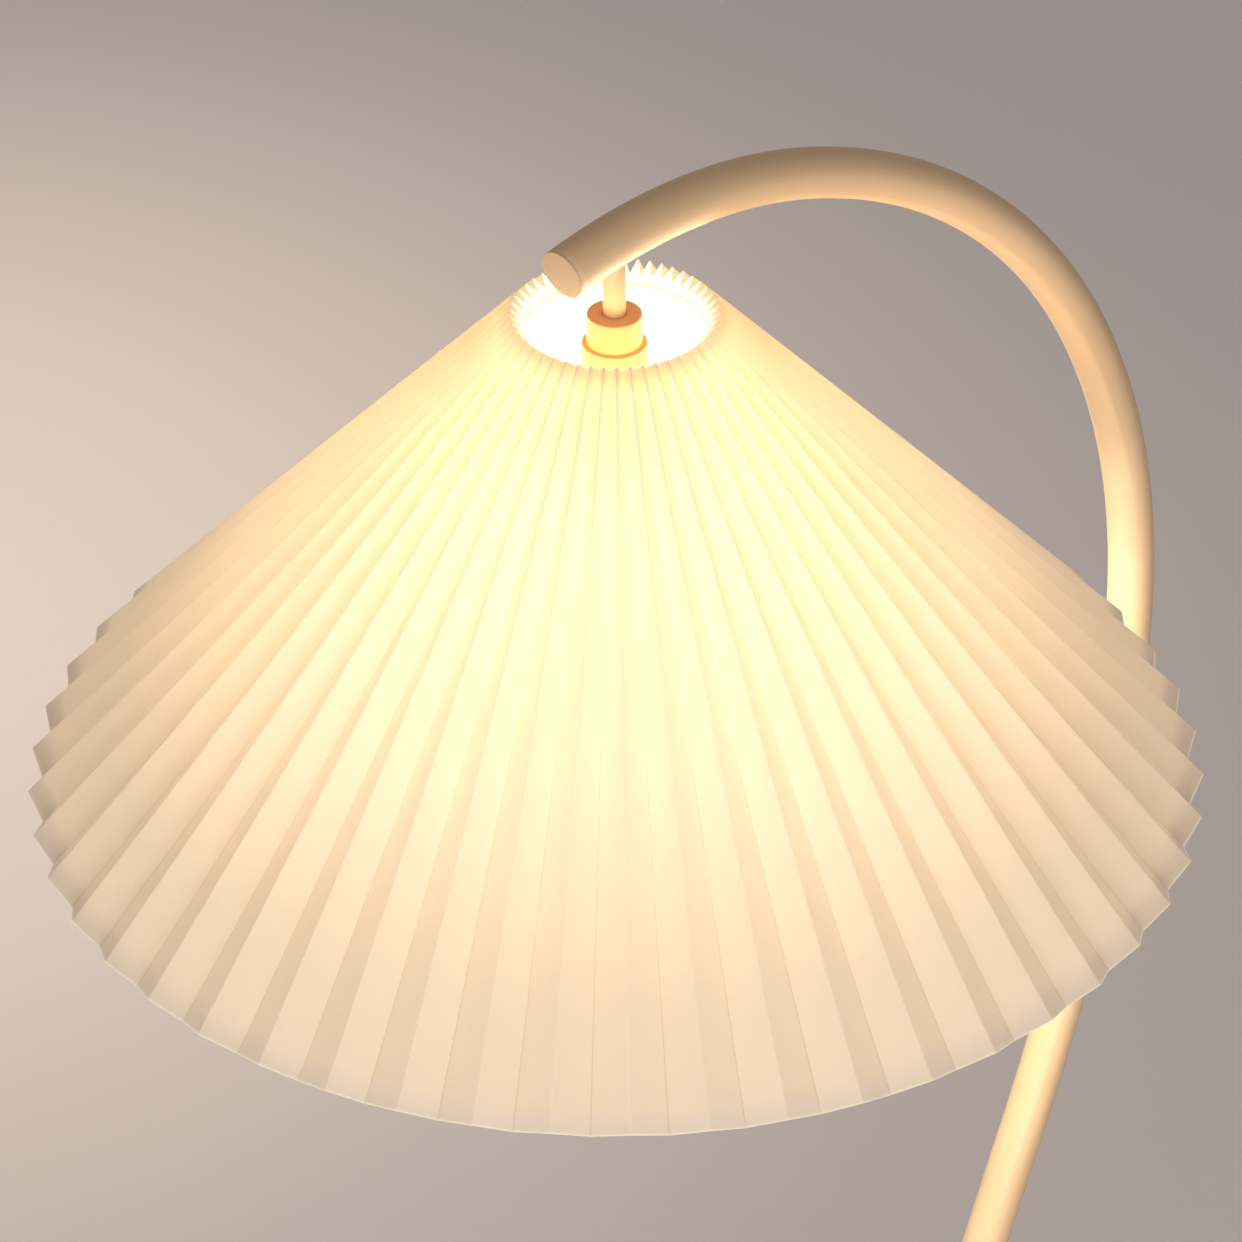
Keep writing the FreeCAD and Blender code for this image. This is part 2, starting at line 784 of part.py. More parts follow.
def switch_spring():
    """Coil between the housing's floor and the button."""
    wire = D["spring_wire_diameter"].value / 2
    radius = D["spring_diameter"].value / 2
    low = cavity_floor.value + wire + D["fit_gap"].value
    rise = flange_bottom.value - D["fit_gap"].value - wire - low
    helix = Part.makeHelix(rise / D["spring_turns"].value, rise, radius)
    section = Part.Wire(Part.Circle(Vector(radius, 0, 0), Vector(0, 1, 0), wire).toShape())
    coil = Part.Wire(helix.Edges).makePipeShell([section], True, True)
    spring = feature("switch_spring", coil)
    return place(spring, x=switch_x, z=Size.of(low))


# --- tube ----------------------------------------------------------------------------------------


def hollow_tube(label, start, heading, steps):
    """A tube along a path that starts at a point with a heading. Steps are runs and bends."""
    shapes = []
    for radius in (tube_radius.value, bore_radius.value):
        walk = Walk(start[0], start[1], heading)
        for step in steps:
            step(walk)
        shapes.append(bent_bar(label, walk, start, heading, radius))
    outer, inner = shapes
    return outer.cut(inner)


def lower_tube():
    foot = (0.0, tube_foot.value)
    steps = [
        lambda walk: walk.run(D["foot_rise"].value),
        lambda walk: walk.bend(D["foot_bend_radius"].value, -D["lean_angle"].value),
        lambda walk: walk.run(D["lower_leg_length"].value),
    ]
    return feature("lower_tube", hollow_tube("lower_tube", foot, 90.0, steps))


def leg_turn():
    """Turns a piece that is built upright so that it lies along the leg."""
    return Rotation(Vector(0, 1, 0), D["lean_angle"].value)


def middle_tube():
    outer = cylinder(
        "middle_outer", tube_radius, D["middle_leg_length"], *in_plane(lower_joint), leg_turn()
    )
    inner = cylinder(
        "middle_inner", bore_radius, D["middle_leg_length"], *in_plane(lower_joint), leg_turn()
    )
    return cut("middle_tube", outer, inner)


def in_plane(point):
    """A point of the skeleton as x, y, z."""
    return point[0], ZERO, point[1]


def nose_steps(nose_turn):
    return [
        lambda walk: walk.bend(D["rising_radius"].value, D["rising_turn"].value),
        lambda walk: walk.bend(D["crown_radius"].value, D["crown_turn"].value),
        lambda walk: walk.bend(D["nose_radius"].value, nose_turn),
    ]


def arc_tube():
    """The arched tube, with a hole in its underside for the hanger rod."""
    start = (upper_joint[0].value, upper_joint[1].value)
    steps = [lambda walk: walk.run(D["upper_leg_length"].value), *nose_steps(D["nose_turn"].value)]
    bar = feature("arc_bar", hollow_tube("arc_tube", start, leg_heading.value, steps))
    hole = cylinder(
        "arc_rod_hole",
        D["rod_diameter"] / 2 + D["fit_gap"],
        D["tube_diameter"],
        x=shade_x,
        z=hanger[1] - D["tube_diameter"],
    )
    return cut("arc_tube", bar, hole)


def coupler(label, joint):
    """Sleeve inside a joint of the leg, half of it in each tube."""
    outer_radius = bore_radius - D["fit_gap"]
    half = D["coupler_length"] / 2
    start = (
        joint[0] - half * sine(D["lean_angle"]), ZERO, joint[1] - half * cosine(D["lean_angle"])
    )
    outer = cylinder(label + "_outer", outer_radius, D["coupler_length"], *start, leg_turn())
    inner = cylinder(
        label + "_inner", outer_radius - D["coupler_wall"], D["coupler_length"], *start, leg_turn()
    )
    return cut(label, outer, inner)


def tip_cap():
    """Flat cap over the tube's end, with a plug inside it."""
    face, plug = tube_radius, bore_radius - D["fit_gap"]
    depth, thick = D["tip_cap_plug_length"], D["tip_cap_thickness"]
    cap = turned(
        "tip_cap",
        [
            (ZERO, ZERO), (plug, ZERO), (plug, depth), (face, depth),
            (face, depth + thick), (ZERO, depth + thick),
        ],
    )
    heading = tip_heading
    turn = Rotation(Vector(0, 1, 0), 90 - heading.value)
    return place(cap, x=tip[0] - depth * cosine(heading), z=tip[1] - depth * sine(heading), turn=turn)


def tube_lead():
    """The lead from the terminal block, through stud, tube and rod, to the lampholder."""
    bend = D["lead_bend_radius"].value
    start = (D["terminal_distance"].value, D["lead_height"].value)
    walk = Walk(start[0], start[1], 180.0)
    walk.run(start[0] - bend).bend(bend, -90.0)
    walk.run(tube_foot.value + D["foot_rise"].value - walk.z)
    walk.bend(D["foot_bend_radius"].value, -D["lean_angle"].value)
    walk.run(leg_length.value)
    radius = D["nose_radius"].value
    reach = shade_x.value - nose_start[0].value + radius * sine(nose_heading).value + bend
    leave = 180.0 - math.degrees(math.asin(reach / (radius - bend)))
    for step in nose_steps(leave - nose_heading.value):
        step(walk)
    walk.bend(bend, 270.0 - leave)
    walk.run(walk.z - lead_end.value)
    return feature("tube_lead", bent_bar("tube_lead", walk, start, 180.0, D["lead_diameter"].value / 2))


# --- hanger and lampholder ---------------------------------------------------------------------------

nut_half_width = D["rod_nut_flats"] / 2
seat_drop = root(bore_radius * bore_radius - nut_half_width * nut_half_width)
nut_seat = hanger[1] - seat_drop + D["fit_gap"]
rod_top = nut_seat + D["rod_nut_height"] + D["fit_gap"] * 4
rod_bottom = cap_top - D["rod_grip"]
insert_top = body_top - D["holder_roof"] - D["fit_gap"]
insert_bottom = body_bottom + D["holder_wall"]
lead_end = insert_top - D["insert_roof"] / 2
shell_bottom = insert_bottom + D["holder_wall"]
shell_top = shell_bottom + D["shell_length"]
bulb_cap_bottom = shell_bottom - D["fit_gap"]
bulb_cap_top = bulb_cap_bottom + D["bulb_cap_length"]
bulb_tip_top = bulb_cap_top + D["bulb_insulator_height"] + D["bulb_tip_height"]


def hanger_rod():
    return turned(
        "hanger_rod",
        ring_outline(D["rod_bore_diameter"] / 2, D["rod_diameter"] / 2, rod_top - rod_bottom),
        x=shade_x,
        z=rod_bottom,
    )


def rod_nuts():
    """One nut inside the tube and one under the roof of the lampholder's cap."""
    bore = D["rod_diameter"] + D["fit_gap"]
    sizes = (D["rod_nut_flats"], D["rod_nut_height"], bore, shade_x)
    low = cap_top - D["holder_roof"] - D["rod_nut_height"]
    return [hex_nut("hanger_nut", *sizes, nut_seat), hex_nut("holder_nut", *sizes, low)]


def saddle_washer():
    """Washer with a flat top for the nut and a curved underside that fits the tube's bore."""
    start = (nose_start[0].value, nose_start[1].value)
    walk = Walk(start[0], start[1], nose_heading.value)
    walk.bend(D["nose_radius"].value, D["nose_turn"].value)
    radius = bore_radius.value - D["fit_gap"].value
    bore = feature(
        "saddle_bore", bent_bar("saddle_washer", walk, start, nose_heading.value, radius)
    )
    disc = cylinder(
        "saddle_disc", D["saddle_diameter"] / 2, D["tube_diameter"],
        x=shade_x, z=nut_seat - D["tube_diameter"],
    )
    blank = doc.addObject("Part::Common", "saddle_blank")
    blank.Base, blank.Tool = bore, disc
    hole = cylinder(
        "saddle_hole", D["rod_diameter"] / 2 + D["fit_gap"], D["tube_diameter"] * 2,
        x=shade_x, z=nut_seat - D["tube_diameter"],
    )
    return cut("saddle_washer", blank, hole)


def holder_cap():
    outer, height, roof = D["holder_cap_diameter"] / 2, D["holder_cap_height"], D["holder_roof"]
    inner, hole = outer - D["holder_wall"], D["rod_diameter"] / 2 + D["fit_gap"]
    return turned(
        "holder_cap",
        [
            (inner, ZERO), (outer, ZERO), (outer, height), (hole, height),
            (hole, height - roof), (inner, height - roof),
        ],
        x=shade_x,
        z=body_top,
    )


def holder_body():
    """Shell with a roof, and a spigot over it that screws into the cap."""
    outer, length, roof = D["holder_diameter"] / 2, D["holder_length"], D["holder_roof"]
    inner, hole = outer - D["holder_wall"], D["rod_bore_diameter"] / 2
    spigot = D["holder_cap_diameter"] / 2 - D["holder_wall"] - D["fit_gap"]
    spigot_bore = spigot - D["holder_wall"]
    top = length + D["holder_spigot"]
    return turned(
        "holder_body",
        [
            (inner, ZERO), (outer, ZERO), (outer, length), (spigot, length), (spigot, top),
            (spigot_bore, top), (spigot_bore, length), (hole, length), (hole, length - roof),
            (inner, length - roof),
        ],
        x=shade_x,
        z=body_bottom,
    )


def holder_insert():
    """Insulator in the body: a roof with the lead's hole, and a wall round the screw shell."""
    outer = D["holder_diameter"] / 2 - D["holder_wall"] - D["fit_gap"]
    inner = D["shell_bore_diameter"] / 2 + D["shell_wall"] + D["fit_gap"] / 2
    hole = D["lead_diameter"] / 2 + D["fit_gap"]
    height = insert_top - insert_bottom
    roof = D["insert_roof"]
    return turned(
        "holder_insert",
        [
            (inner, ZERO), (outer, ZERO), (outer, height), (hole, height),
            (hole, height - roof), (inner, height - roof),
        ],
        x=shade_x,
        z=insert_bottom,
    )


def screw_shell():
    inner = D["shell_bore_diameter"] / 2
    return turned(
        "screw_shell",
        ring_outline(inner, inner + D["shell_wall"], D["shell_length"]),
        x=shade_x,
        z=shell_bottom,
    )


def centre_contact():
    """Sprung strip over the bulb's end contact, hung from the insulator's roof inside the shell."""
    gap, thick = D["contact_gap"], D["contact_thickness"]
    width = D["bulb_tip_diameter"]
    low = bulb_tip_top + gap
    roof = insert_top - D["insert_roof"]
    shell_inside = D["shell_bore_diameter"] / 2 - gap
    reach = root(shell_inside * shell_inside - width * width / 4)
    strip = block("contact_strip", reach + width / 2, width, thick, shade_x - width / 2, -width / 2, low)
    leg = block("contact_leg", thick, width, roof - low, shade_x + reach - thick, -width / 2, low)
    contact = doc.addObject("Part::Fuse", "centre_contact")
    contact.Base, contact.Tool = strip, leg
    return contact


def hub_rings():
    """Two threaded rings on the lampholder: the shade's hub turns between them."""
    outline = ring_outline(
        D["holder_diameter"] / 2 + D["fit_gap"] / 2, D["ring_diameter"] / 2, D["ring_height"]
    )
    over = turned("stop_ring", outline, x=shade_x, z=hub_top + D["fit_gap"])
    under = turned(
        "shade_ring", outline, x=shade_x, z=hub_bottom - D["fit_gap"] - D["ring_height"]
    )
    for ring in (over, under):
        for height in (ZERO, D["ring_height"]):
            round_edges(ring, D["wire_diameter"] / 4, circle_at(D["ring_diameter"] / 2, height))
    return [over, under]


# --- shade -------------------------------------------------------------------------------------------

half_drop = (D["shade_bottom_diameter"] - D["shade_top_diameter"]) / 2
wall_length = root(half_drop * half_drop + D["shade_height"] * D["shade_height"])
slope_in = half_drop / wall_length  # how fast the wall comes in, and rises, along itself
slope_up = D["shade_height"] / wall_length
wire_offset = D["pleat_depth"] + D["wire_diameter"] / 2 + D["loose_gap"]


def wall_point(along, inward):
    """Radius and height over the lower edge, along the wall from there and square to it inwards."""
    radius = D["shade_bottom_diameter"] / 2 - along * slope_in - inward * slope_up
    return radius, along * slope_up - inward * slope_in


def pleated_shade():
    """The folded sheet's whole thickness, from its inner to its outer folds, as one cone."""
    depth = D["pleat_depth"]
    low = depth * slope_in
    corners = [
        wall_point(ZERO, depth), wall_point(ZERO, ZERO),
        wall_point(wall_length, ZERO), wall_point(wall_length, depth),
    ]
    outline = [(radius, height + low) for radius, height in corners]
    return turned("pleated_shade", outline, x=shade_x, z=shade_bottom - low)


def wire_ring(label, along):
    radius, height = wall_point(along, wire_offset)
    ring = doc.addObject("Part::Torus", label)
    ring.Label = label
    bind(ring, Radius1=radius, Radius2=D["wire_diameter"] / 2)
    return place(ring, x=shade_x, z=shade_bottom + height)


top_along = wall_length - D["top_wire_inset"]
bottom_along = D["bottom_wire_inset"]


def strut_azimuths():
    return [
        D["first_strut_azimuth"] + pleats / D["pleat_count"].value * 360 for pleats in STRUT_PLEATS
    ]


def frame_struts():
    """Wires along the folds from ring to ring, their ends shaped to the rings."""
    radius, height = wall_point(bottom_along, wire_offset)
    lean = math.degrees(math.atan2(half_drop.value, D["shade_height"].value))
    struts = []
    for n, azimuth in enumerate(strut_azimuths()):
        turn = Rotation(Vector(0, 0, 1), azimuth.value).multiply(Rotation(Vector(0, 1, 0), -lean))
        spot = shade_x + radius * cosine(azimuth), radius * sine(azimuth), shade_bottom + height
        wire = cylinder(
            f"strut_wire_{n}", D["wire_diameter"] / 2, top_along - bottom_along, *spot, turn
        )
        rings = [wire_ring(f"strut_{end}_{n}", along) for end, along in strut_ends().items()]
        struts.append(cut(f"strut_{n}", wire, *rings))
    return group("frame_struts", struts)


def strut_ends():
    return {"foot": bottom_along, "head": top_along}


def spider_hub():
    inner = D["holder_diameter"] / 2 + D["fit_gap"]
    return turned(
        "spider_hub",
        ring_outline(inner, D["hub_diameter"] / 2, D["hub_height"]),
        x=shade_x,
        z=hub_bottom,
    )


def spider_arms():
    """Level wires from the hub to the struts, their ends shaped to the struts."""
    height = hub_bottom + D["hub_height"] / 2
    lean_rate = half_drop / D["shade_height"]
    foot_radius, foot_height = wall_point(bottom_along, wire_offset)
    reach = foot_radius - (height - shade_bottom - foot_height) * lean_rate
    hub = D["hub_diameter"] / 2
    lean = math.degrees(math.atan2(half_drop.value, D["shade_height"].value))
    arms = []
    for n, azimuth in enumerate(strut_azimuths()):
        spin = Rotation(Vector(0, 0, 1), azimuth.value)
        start = shade_x + hub * cosine(azimuth), hub * sine(azimuth), height
        wire = cylinder(
            f"arm_wire_{n}", D["wire_diameter"] / 2, reach - hub, *start,
            spin.multiply(Rotation(Vector(0, 1, 0), 90)),
        )
        foot = (
            shade_x + foot_radius * cosine(azimuth), foot_radius * sine(azimuth),
            shade_bottom + foot_height,
        )
        strut = cylinder(
            f"arm_end_{n}", D["wire_diameter"] / 2, top_along - bottom_along, *foot,
            spin.multiply(Rotation(Vector(0, 1, 0), -lean)),
        )
        rim = cylinder(f"arm_start_{n}", hub, D["hub_height"] * 3, x=shade_x, z=hub_bottom - D["hub_height"])
        arms.append(cut(f"arm_{n}", wire, strut, rim))
    return group("spider_arms", arms)


# --- bulb ----------------------------------------------------------------------------------------------


def bulb_cap():
    radius = D["shell_bore_diameter"] / 2 - D["fit_gap"]
    wall = D["shell_wall"]
    height = D["bulb_cap_length"]
    return turned(
        "bulb_cap",
        [
            (radius - wall, ZERO), (radius, ZERO), (radius, height), (radius / 2, height),
            (radius / 2, height - wall), (radius - wall, height - wall),
        ],
        x=shade_x,
        z=bulb_cap_bottom,
    )


def bulb_contacts():
    """Insulator cone over the screw cap, and the end contact on it."""
    radius = (D["shell_bore_diameter"] / 2 - D["fit_gap"]) * 0.9
    tip_radius = D["bulb_tip_diameter"] / 2
    insulator = doc.addObject("Part::Cone", "bulb_insulator")
    bind(insulator, Radius1=radius, Radius2=tip_radius, Height=D["bulb_insulator_height"])
    place(insulator, x=shade_x, z=bulb_cap_top)
    contact = turned(
        "bulb_contact",
        ring_outline(ZERO, tip_radius, D["bulb_tip_height"]),
        x=shade_x,
        z=bulb_cap_top + D["bulb_insulator_height"],
    )
    return [insulator, contact]


bulb_collar_top = bulb_cap_bottom
bulb_collar_bottom = bulb_collar_top - D["bulb_collar_height"]
globe_centre = bulb_cap_top - D["globe_drop"]


def bulb_collar():
    """Skirt between the screw cap and the glass, with a spigot up inside the cap."""
    outer, height = D["bulb_collar_diameter"] / 2, D["bulb_collar_height"]
    neck = D["shell_bore_diameter"] / 2 - D["fit_gap"] * 2 - D["shell_wall"]
    return turned(
        "bulb_collar",
        [
            (ZERO, ZERO), (outer, ZERO), (outer, height / 2), (neck, height * 3 / 4),
            (neck, height * 4 / 3), (ZERO, height * 4 / 3),
        ],
        x=shade_x,
        z=bulb_collar_bottom,
    )


def bulb_globe():
    """Round glass with a short neck that reaches the collar, hollow throughout."""
    shells = []
    for name, inward in (("outer", ZERO), ("inner", D["globe_wall"])):
        ball = doc.addObject("Part::Sphere", f"globe_{name}_ball")
        bind(ball, Radius=D["globe_diameter"] / 2 - inward)
        place(ball, x=shade_x, z=globe_centre)
        neck_height = bulb_collar_bottom - D["fit_gap"] - globe_centre
        neck = cylinder(
            f"globe_{name}_neck", D["bulb_neck_diameter"] / 2 - inward, neck_height,
            x=shade_x, z=globe_centre,
        )
        shell = doc.addObject("Part::Fuse", f"globe_{name}")
        shell.Base, shell.Tool = ball, neck
        shells.append(shell)
    return cut("bulb_globe", *shells)


def bulb_emitter():
    """Light source on a stem that stands on the collar inside the glass."""
    radius, length = D["emitter_diameter"] / 2, D["emitter_length"]
    low = globe_centre - length / 2
    height = bulb_collar_bottom - low
    return turned(
        "bulb_emitter",
        [
            (ZERO, ZERO), (radius, ZERO), (radius, length), (radius / 2, length),
            (radius / 2, height), (ZERO, height),
        ],
        x=shade_x,
        z=low,
    )


# --- the lamp ----------------------------------------------------------------------------------------


def build():
    """Makes every piece and returns them by node name."""
    pieces = [
        base_pads(), bottom_plate(), plate_screws(), base_weight(), base_cover(), *base_fixings(),
        stem_socket(), socket_screws(), cord_gland(), terminal_block(),
        switch_housing(), switch_bezel(), foot_button(), switch_spring(),
        lower_tube(), middle_tube(), arc_tube(),
        coupler("lower_coupler", lower_joint), coupler("upper_coupler", upper_joint),
        tip_cap(), tube_lead(),
        hanger_rod(), *rod_nuts(), saddle_washer(), holder_cap(), holder_body(), holder_insert(),
        screw_shell(), centre_contact(), *hub_rings(),
        spider_hub(), spider_arms(), frame_struts(),
        wire_ring("top_ring", top_along), wire_ring("bottom_ring", bottom_along), pleated_shade(),
        bulb_cap(), *bulb_contacts(), bulb_collar(), bulb_globe(), bulb_emitter(),
    ]
    doc.recompute()
    return {piece.Label: piece for piece in pieces}


def check(pieces):
    """Stops with the names of objects that failed, or of pieces with no sound shape."""
    failed = [o.Name for o in doc.Objects if {"Invalid", "Error"} & set(o.State)]
    for name, piece in pieces.items():
        shape = piece.Shape
        if shape.isNull() or not shape.isValid() or shape.Volume < MIN_VOLUME or not shape.Solids:
            failed.append(name)
    if failed:
        raise RuntimeError("no sound shape: " + ", ".join(failed))


def write(pieces):
    os.makedirs("parts", exist_ok=True)
    for name, piece in pieces.items():
        piece.Shape.exportStep(os.path.join("parts", name + ".step"))


pieces = build()
check(pieces)
write(pieces)
print(f"{len(pieces)} nodes; height {cap_top.value:.1f} cap top, shade x {shade_x.value:.2f},"
      f" shade bottom {shade_bottom.value:.1f}")
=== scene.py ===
"""Looks of the arc floor lamp: a pleated cone shade hung from a bent tube on a round base.

Each piece is built in metres, in the lamp's own frame: +Z up, the origin on the floor under the
centre of the base, and the tube in the XZ plane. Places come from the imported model's boxes.
"""

import logging
import math
import random
from dataclasses import dataclass, field
from enum import Enum
from typing import Iterable, Optional, Sequence

import bmesh
import bpy
from mathutils import Matrix, Quaternion, Vector, noise

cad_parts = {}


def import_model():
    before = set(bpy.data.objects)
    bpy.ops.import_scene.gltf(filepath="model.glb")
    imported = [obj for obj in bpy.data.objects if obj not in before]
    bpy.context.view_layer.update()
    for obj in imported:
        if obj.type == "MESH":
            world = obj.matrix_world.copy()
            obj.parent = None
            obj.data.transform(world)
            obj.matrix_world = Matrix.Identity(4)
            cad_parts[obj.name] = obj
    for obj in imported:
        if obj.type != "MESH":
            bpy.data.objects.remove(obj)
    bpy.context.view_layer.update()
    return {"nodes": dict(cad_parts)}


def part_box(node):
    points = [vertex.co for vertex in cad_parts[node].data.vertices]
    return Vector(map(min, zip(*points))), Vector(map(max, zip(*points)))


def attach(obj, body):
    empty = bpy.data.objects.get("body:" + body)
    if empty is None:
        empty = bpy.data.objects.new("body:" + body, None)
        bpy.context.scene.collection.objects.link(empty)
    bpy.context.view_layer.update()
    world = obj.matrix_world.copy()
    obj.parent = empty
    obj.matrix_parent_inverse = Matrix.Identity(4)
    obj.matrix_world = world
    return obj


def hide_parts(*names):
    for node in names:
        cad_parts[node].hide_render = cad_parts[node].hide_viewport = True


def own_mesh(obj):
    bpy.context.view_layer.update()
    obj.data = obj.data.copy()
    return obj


LOG = logging.getLogger("arc_floor_lamp")
MM = 0.001
UP = Vector((0.0, 0.0, 1.0))
ORIGIN = Vector((0.0, 0.0, 0.0))
MERGE = 1e-6  # corners closer than this are one corner
ARC_STEPS = 4  # facets of a turned corner's arc
FULL_CIRCLE = 360.0
Colour = tuple[float, float, float]
Profile = Sequence[tuple[float, float]]


class Body(Enum):
    """The moving bodies of the lamp."""

    STAND = "stand"
    SHADE = "shade"
    BULB = "bulb"
    BUTTON = "button"


class Slot(Enum):
    """The record's material slots that the pieces made here use."""

    CREAM_PAINT = "cream_paint"
    ZINC = "zinc_steel"
    RUBBER = "rubber_pad"
    IVORY = "ivory_plastic"
    INSULATOR = "insulator"
    BRASS = "brass_contact"
    WIRE = "frame_wire"
    PLEATS = "pleated_fabric"
    BULB_CAP = "bulb_cap_metal"
    BULB_PLASTIC = "bulb_plastic"
    BULB_GLASS = "bulb_glass"
    BULB_LIGHT = "bulb_light"


# --- finishes -------------------------------------------------------------------------------------


class Recipe:
    """A material's node tree, put together one node at a time."""

    def __init__(self, name: str) -> None:
        """Starts an empty node tree.

        Args:
            name: the material's name.
        """
        self.material = bpy.data.materials.new(name)
        self.material.use_nodes = True
        self.tree = self.material.node_tree
        self.tree.nodes.clear()

    def node(self, kind: str, inputs: Optional[dict] = None, **settings: object) -> bpy.types.Node:
        """Adds a node.

        Args:
            kind: the node's type, without its "ShaderNode" start.
            inputs: values or output sockets for its inputs, by name or number.
            settings: the node's own properties.

        Returns:
            The new node.
        """
        made = self.tree.nodes.new("ShaderNode" + kind)
        for name, value in settings.items():
            setattr(made, name, value)
        for name, value in (inputs or {}).items():
            if isinstance(value, bpy.types.NodeSocket):
                self.tree.links.new(value, made.inputs[name])
            else:
                made.inputs[name].default_value = value
        return made

    def place(self, stretch: Sequence[float] = (1.0, 1.0, 1.0)) -> bpy.types.NodeSocket:
        """The piece's own coordinates in metres.

        Args:
            stretch: how much finer a pattern gets along each axis.

        Returns:
            The coordinates.
        """
        coordinates = self.node("TexCoord").outputs["Object"]
        mapping = self.node("Mapping", {"Vector": coordinates, "Scale": tuple(stretch)})
        return mapping.outputs["Vector"]

    def grain(
        self, place: bpy.types.NodeSocket, scale: float, detail: float = 3.0, rough: float = 0.55
    ) -> bpy.types.NodeSocket:
        """Noise from 0 to 1.

        Args:
            place: coordinates.
            scale: patches per metre.
            detail: octaves.
            rough: share of the finer octaves.

        Returns:
            The noise's value.
        """
        inputs = {"Vector": place, "Scale": scale, "Detail": detail, "Roughness": rough}
        return self.node("TexNoise", inputs).outputs["Fac"]

    def spread(
        self, value: bpy.types.NodeSocket, low: float, high: float, start: float = 0.3,
        end: float = 0.7,
    ) -> bpy.types.NodeSocket:
        """Maps a value's range onto another range, and holds it there.

        Args:
            value: the value.
            low: the result at start.
            high: the result at end.
            start: the first value of its range.
            end: the last value of its range.

        Returns:
            The result.
        """
        inputs = {"Value": value, 1: start, 2: end, 3: low, 4: high}
        return self.node("MapRange", inputs, clamp=True).outputs["Result"]

    def sum(self, operation: str, *values: object) -> bpy.types.NodeSocket:
        """A Math node's result for these values.

        Args:
            operation: the node's operation.
            values: numbers or sockets.

        Returns:
            The result.
        """
        return self.node("Math", dict(enumerate(values)), operation=operation).outputs[0]

    def blend(self, share: object, first: object, second: object) -> bpy.types.NodeSocket:
        """A colour between two colours.

        Args:
            share: how much of the second colour, from 0 to 1.
            first: a colour or its socket.
            second: a colour or its socket.

        Returns:
            The colour.
        """
        made = self.node("Mix", {0: share, 6: rgba(first), 7: rgba(second)}, data_type="RGBA")
        return made.outputs[2]

    def bump(
        self, height: bpy.types.NodeSocket, depth: float, under: Optional[object] = None
    ) -> bpy.types.NodeSocket:
        """A bumped normal.

        Args:
            height: the height's value, from 0 to 1.
            depth: what a height of 1 stands for, in metres.
            under: a bump that this one lies on.

        Returns:
            The normal.
        """
        inputs = {"Height": height, "Distance": depth, "Strength": 1.0}
        if under is not None:
            inputs["Normal"] = under
        return self.node("Bump", inputs).outputs["Normal"]

    def output(self, shader: bpy.types.NodeSocket) -> bpy.types.Material:
        """Ends the tree with this shader and returns the material."""
        self.node("OutputMaterial", {"Surface": shader})
        return self.material


def rgba(colour: object) -> object:
    """A colour as a shader's socket takes it.

    Args:
        colour: three numbers, or the socket that the colour comes from.

    Returns:
        Four numbers, or the socket as it is.
    """
    if isinstance(colour, bpy.types.NodeSocket):
        return colour
    return (*colour[:3], 1.0)


@dataclass(frozen=True)
class Coat:
    """An opaque finish: two near colours in soft patches, and a fine grain in the surface."""

    name: str
    colour: Colour
    patch_colour: Colour
    roughness: float = 0.5
    roughness_spread: float = 0.08
    metallic: float = 0.0
    patch_scale: float = 35.0
    grain_scale: float = 1400.0
    grain_depth: float = 0.00006
    stretch: tuple[float, float, float] = (1.0, 1.0, 1.0)
    specks: float = 0.0
    speck_colour: Colour = (0.3, 0.28, 0.25)
    coat: float = 0.0
    coat_roughness: float = 0.25
    subsurface: float = 0.0
    subsurface_depth: float = 4.0 * MM
    glow: Colour = (0.0, 0.0, 0.0)
    glow_strength: float = 0.0

    def material(self) -> bpy.types.Material:
        """Builds the finish's node tree the first time that it is asked for.

        Returns:
            The Blender material.
        """
        known = bpy.data.materials.get(self.name)
        if known is not None:
            return known
        recipe = Recipe(self.name)
        place = recipe.place()
        patches = recipe.grain(place, self.patch_scale, 4.0)
        grain = recipe.grain(recipe.place(self.stretch), self.grain_scale, 3.0, 0.6)
        colour = recipe.blend(recipe.spread(patches, 0.0, 1.0), self.colour, self.patch_colour)
        if self.specks:
            dots = recipe.spread(
                recipe.grain(place, self.grain_scale * 0.6, 1.0), 0.0, self.specks, 0.66, 0.74
            )
            colour = recipe.blend(dots, colour, self.speck_colour)
        rough = recipe.spread(
            grain, self.roughness - self.roughness_spread, self.roughness + self.roughness_spread
        )
        inputs = {
            "Base Color": colour,
            "Roughness": rough,
            "Metallic": self.metallic,
            "Normal": recipe.bump(grain, self.grain_depth),
            "Coat Weight": self.coat,
            "Coat Roughness": self.coat_roughness,
            "Subsurface Weight": self.subsurface,
            "Subsurface Scale": self.subsurface_depth,
            "Emission Color": rgba(self.glow),
            "Emission Strength": self.glow_strength,
        }
        shader = recipe.node("BsdfPrincipled", inputs)
        return recipe.output(shader.outputs[0])


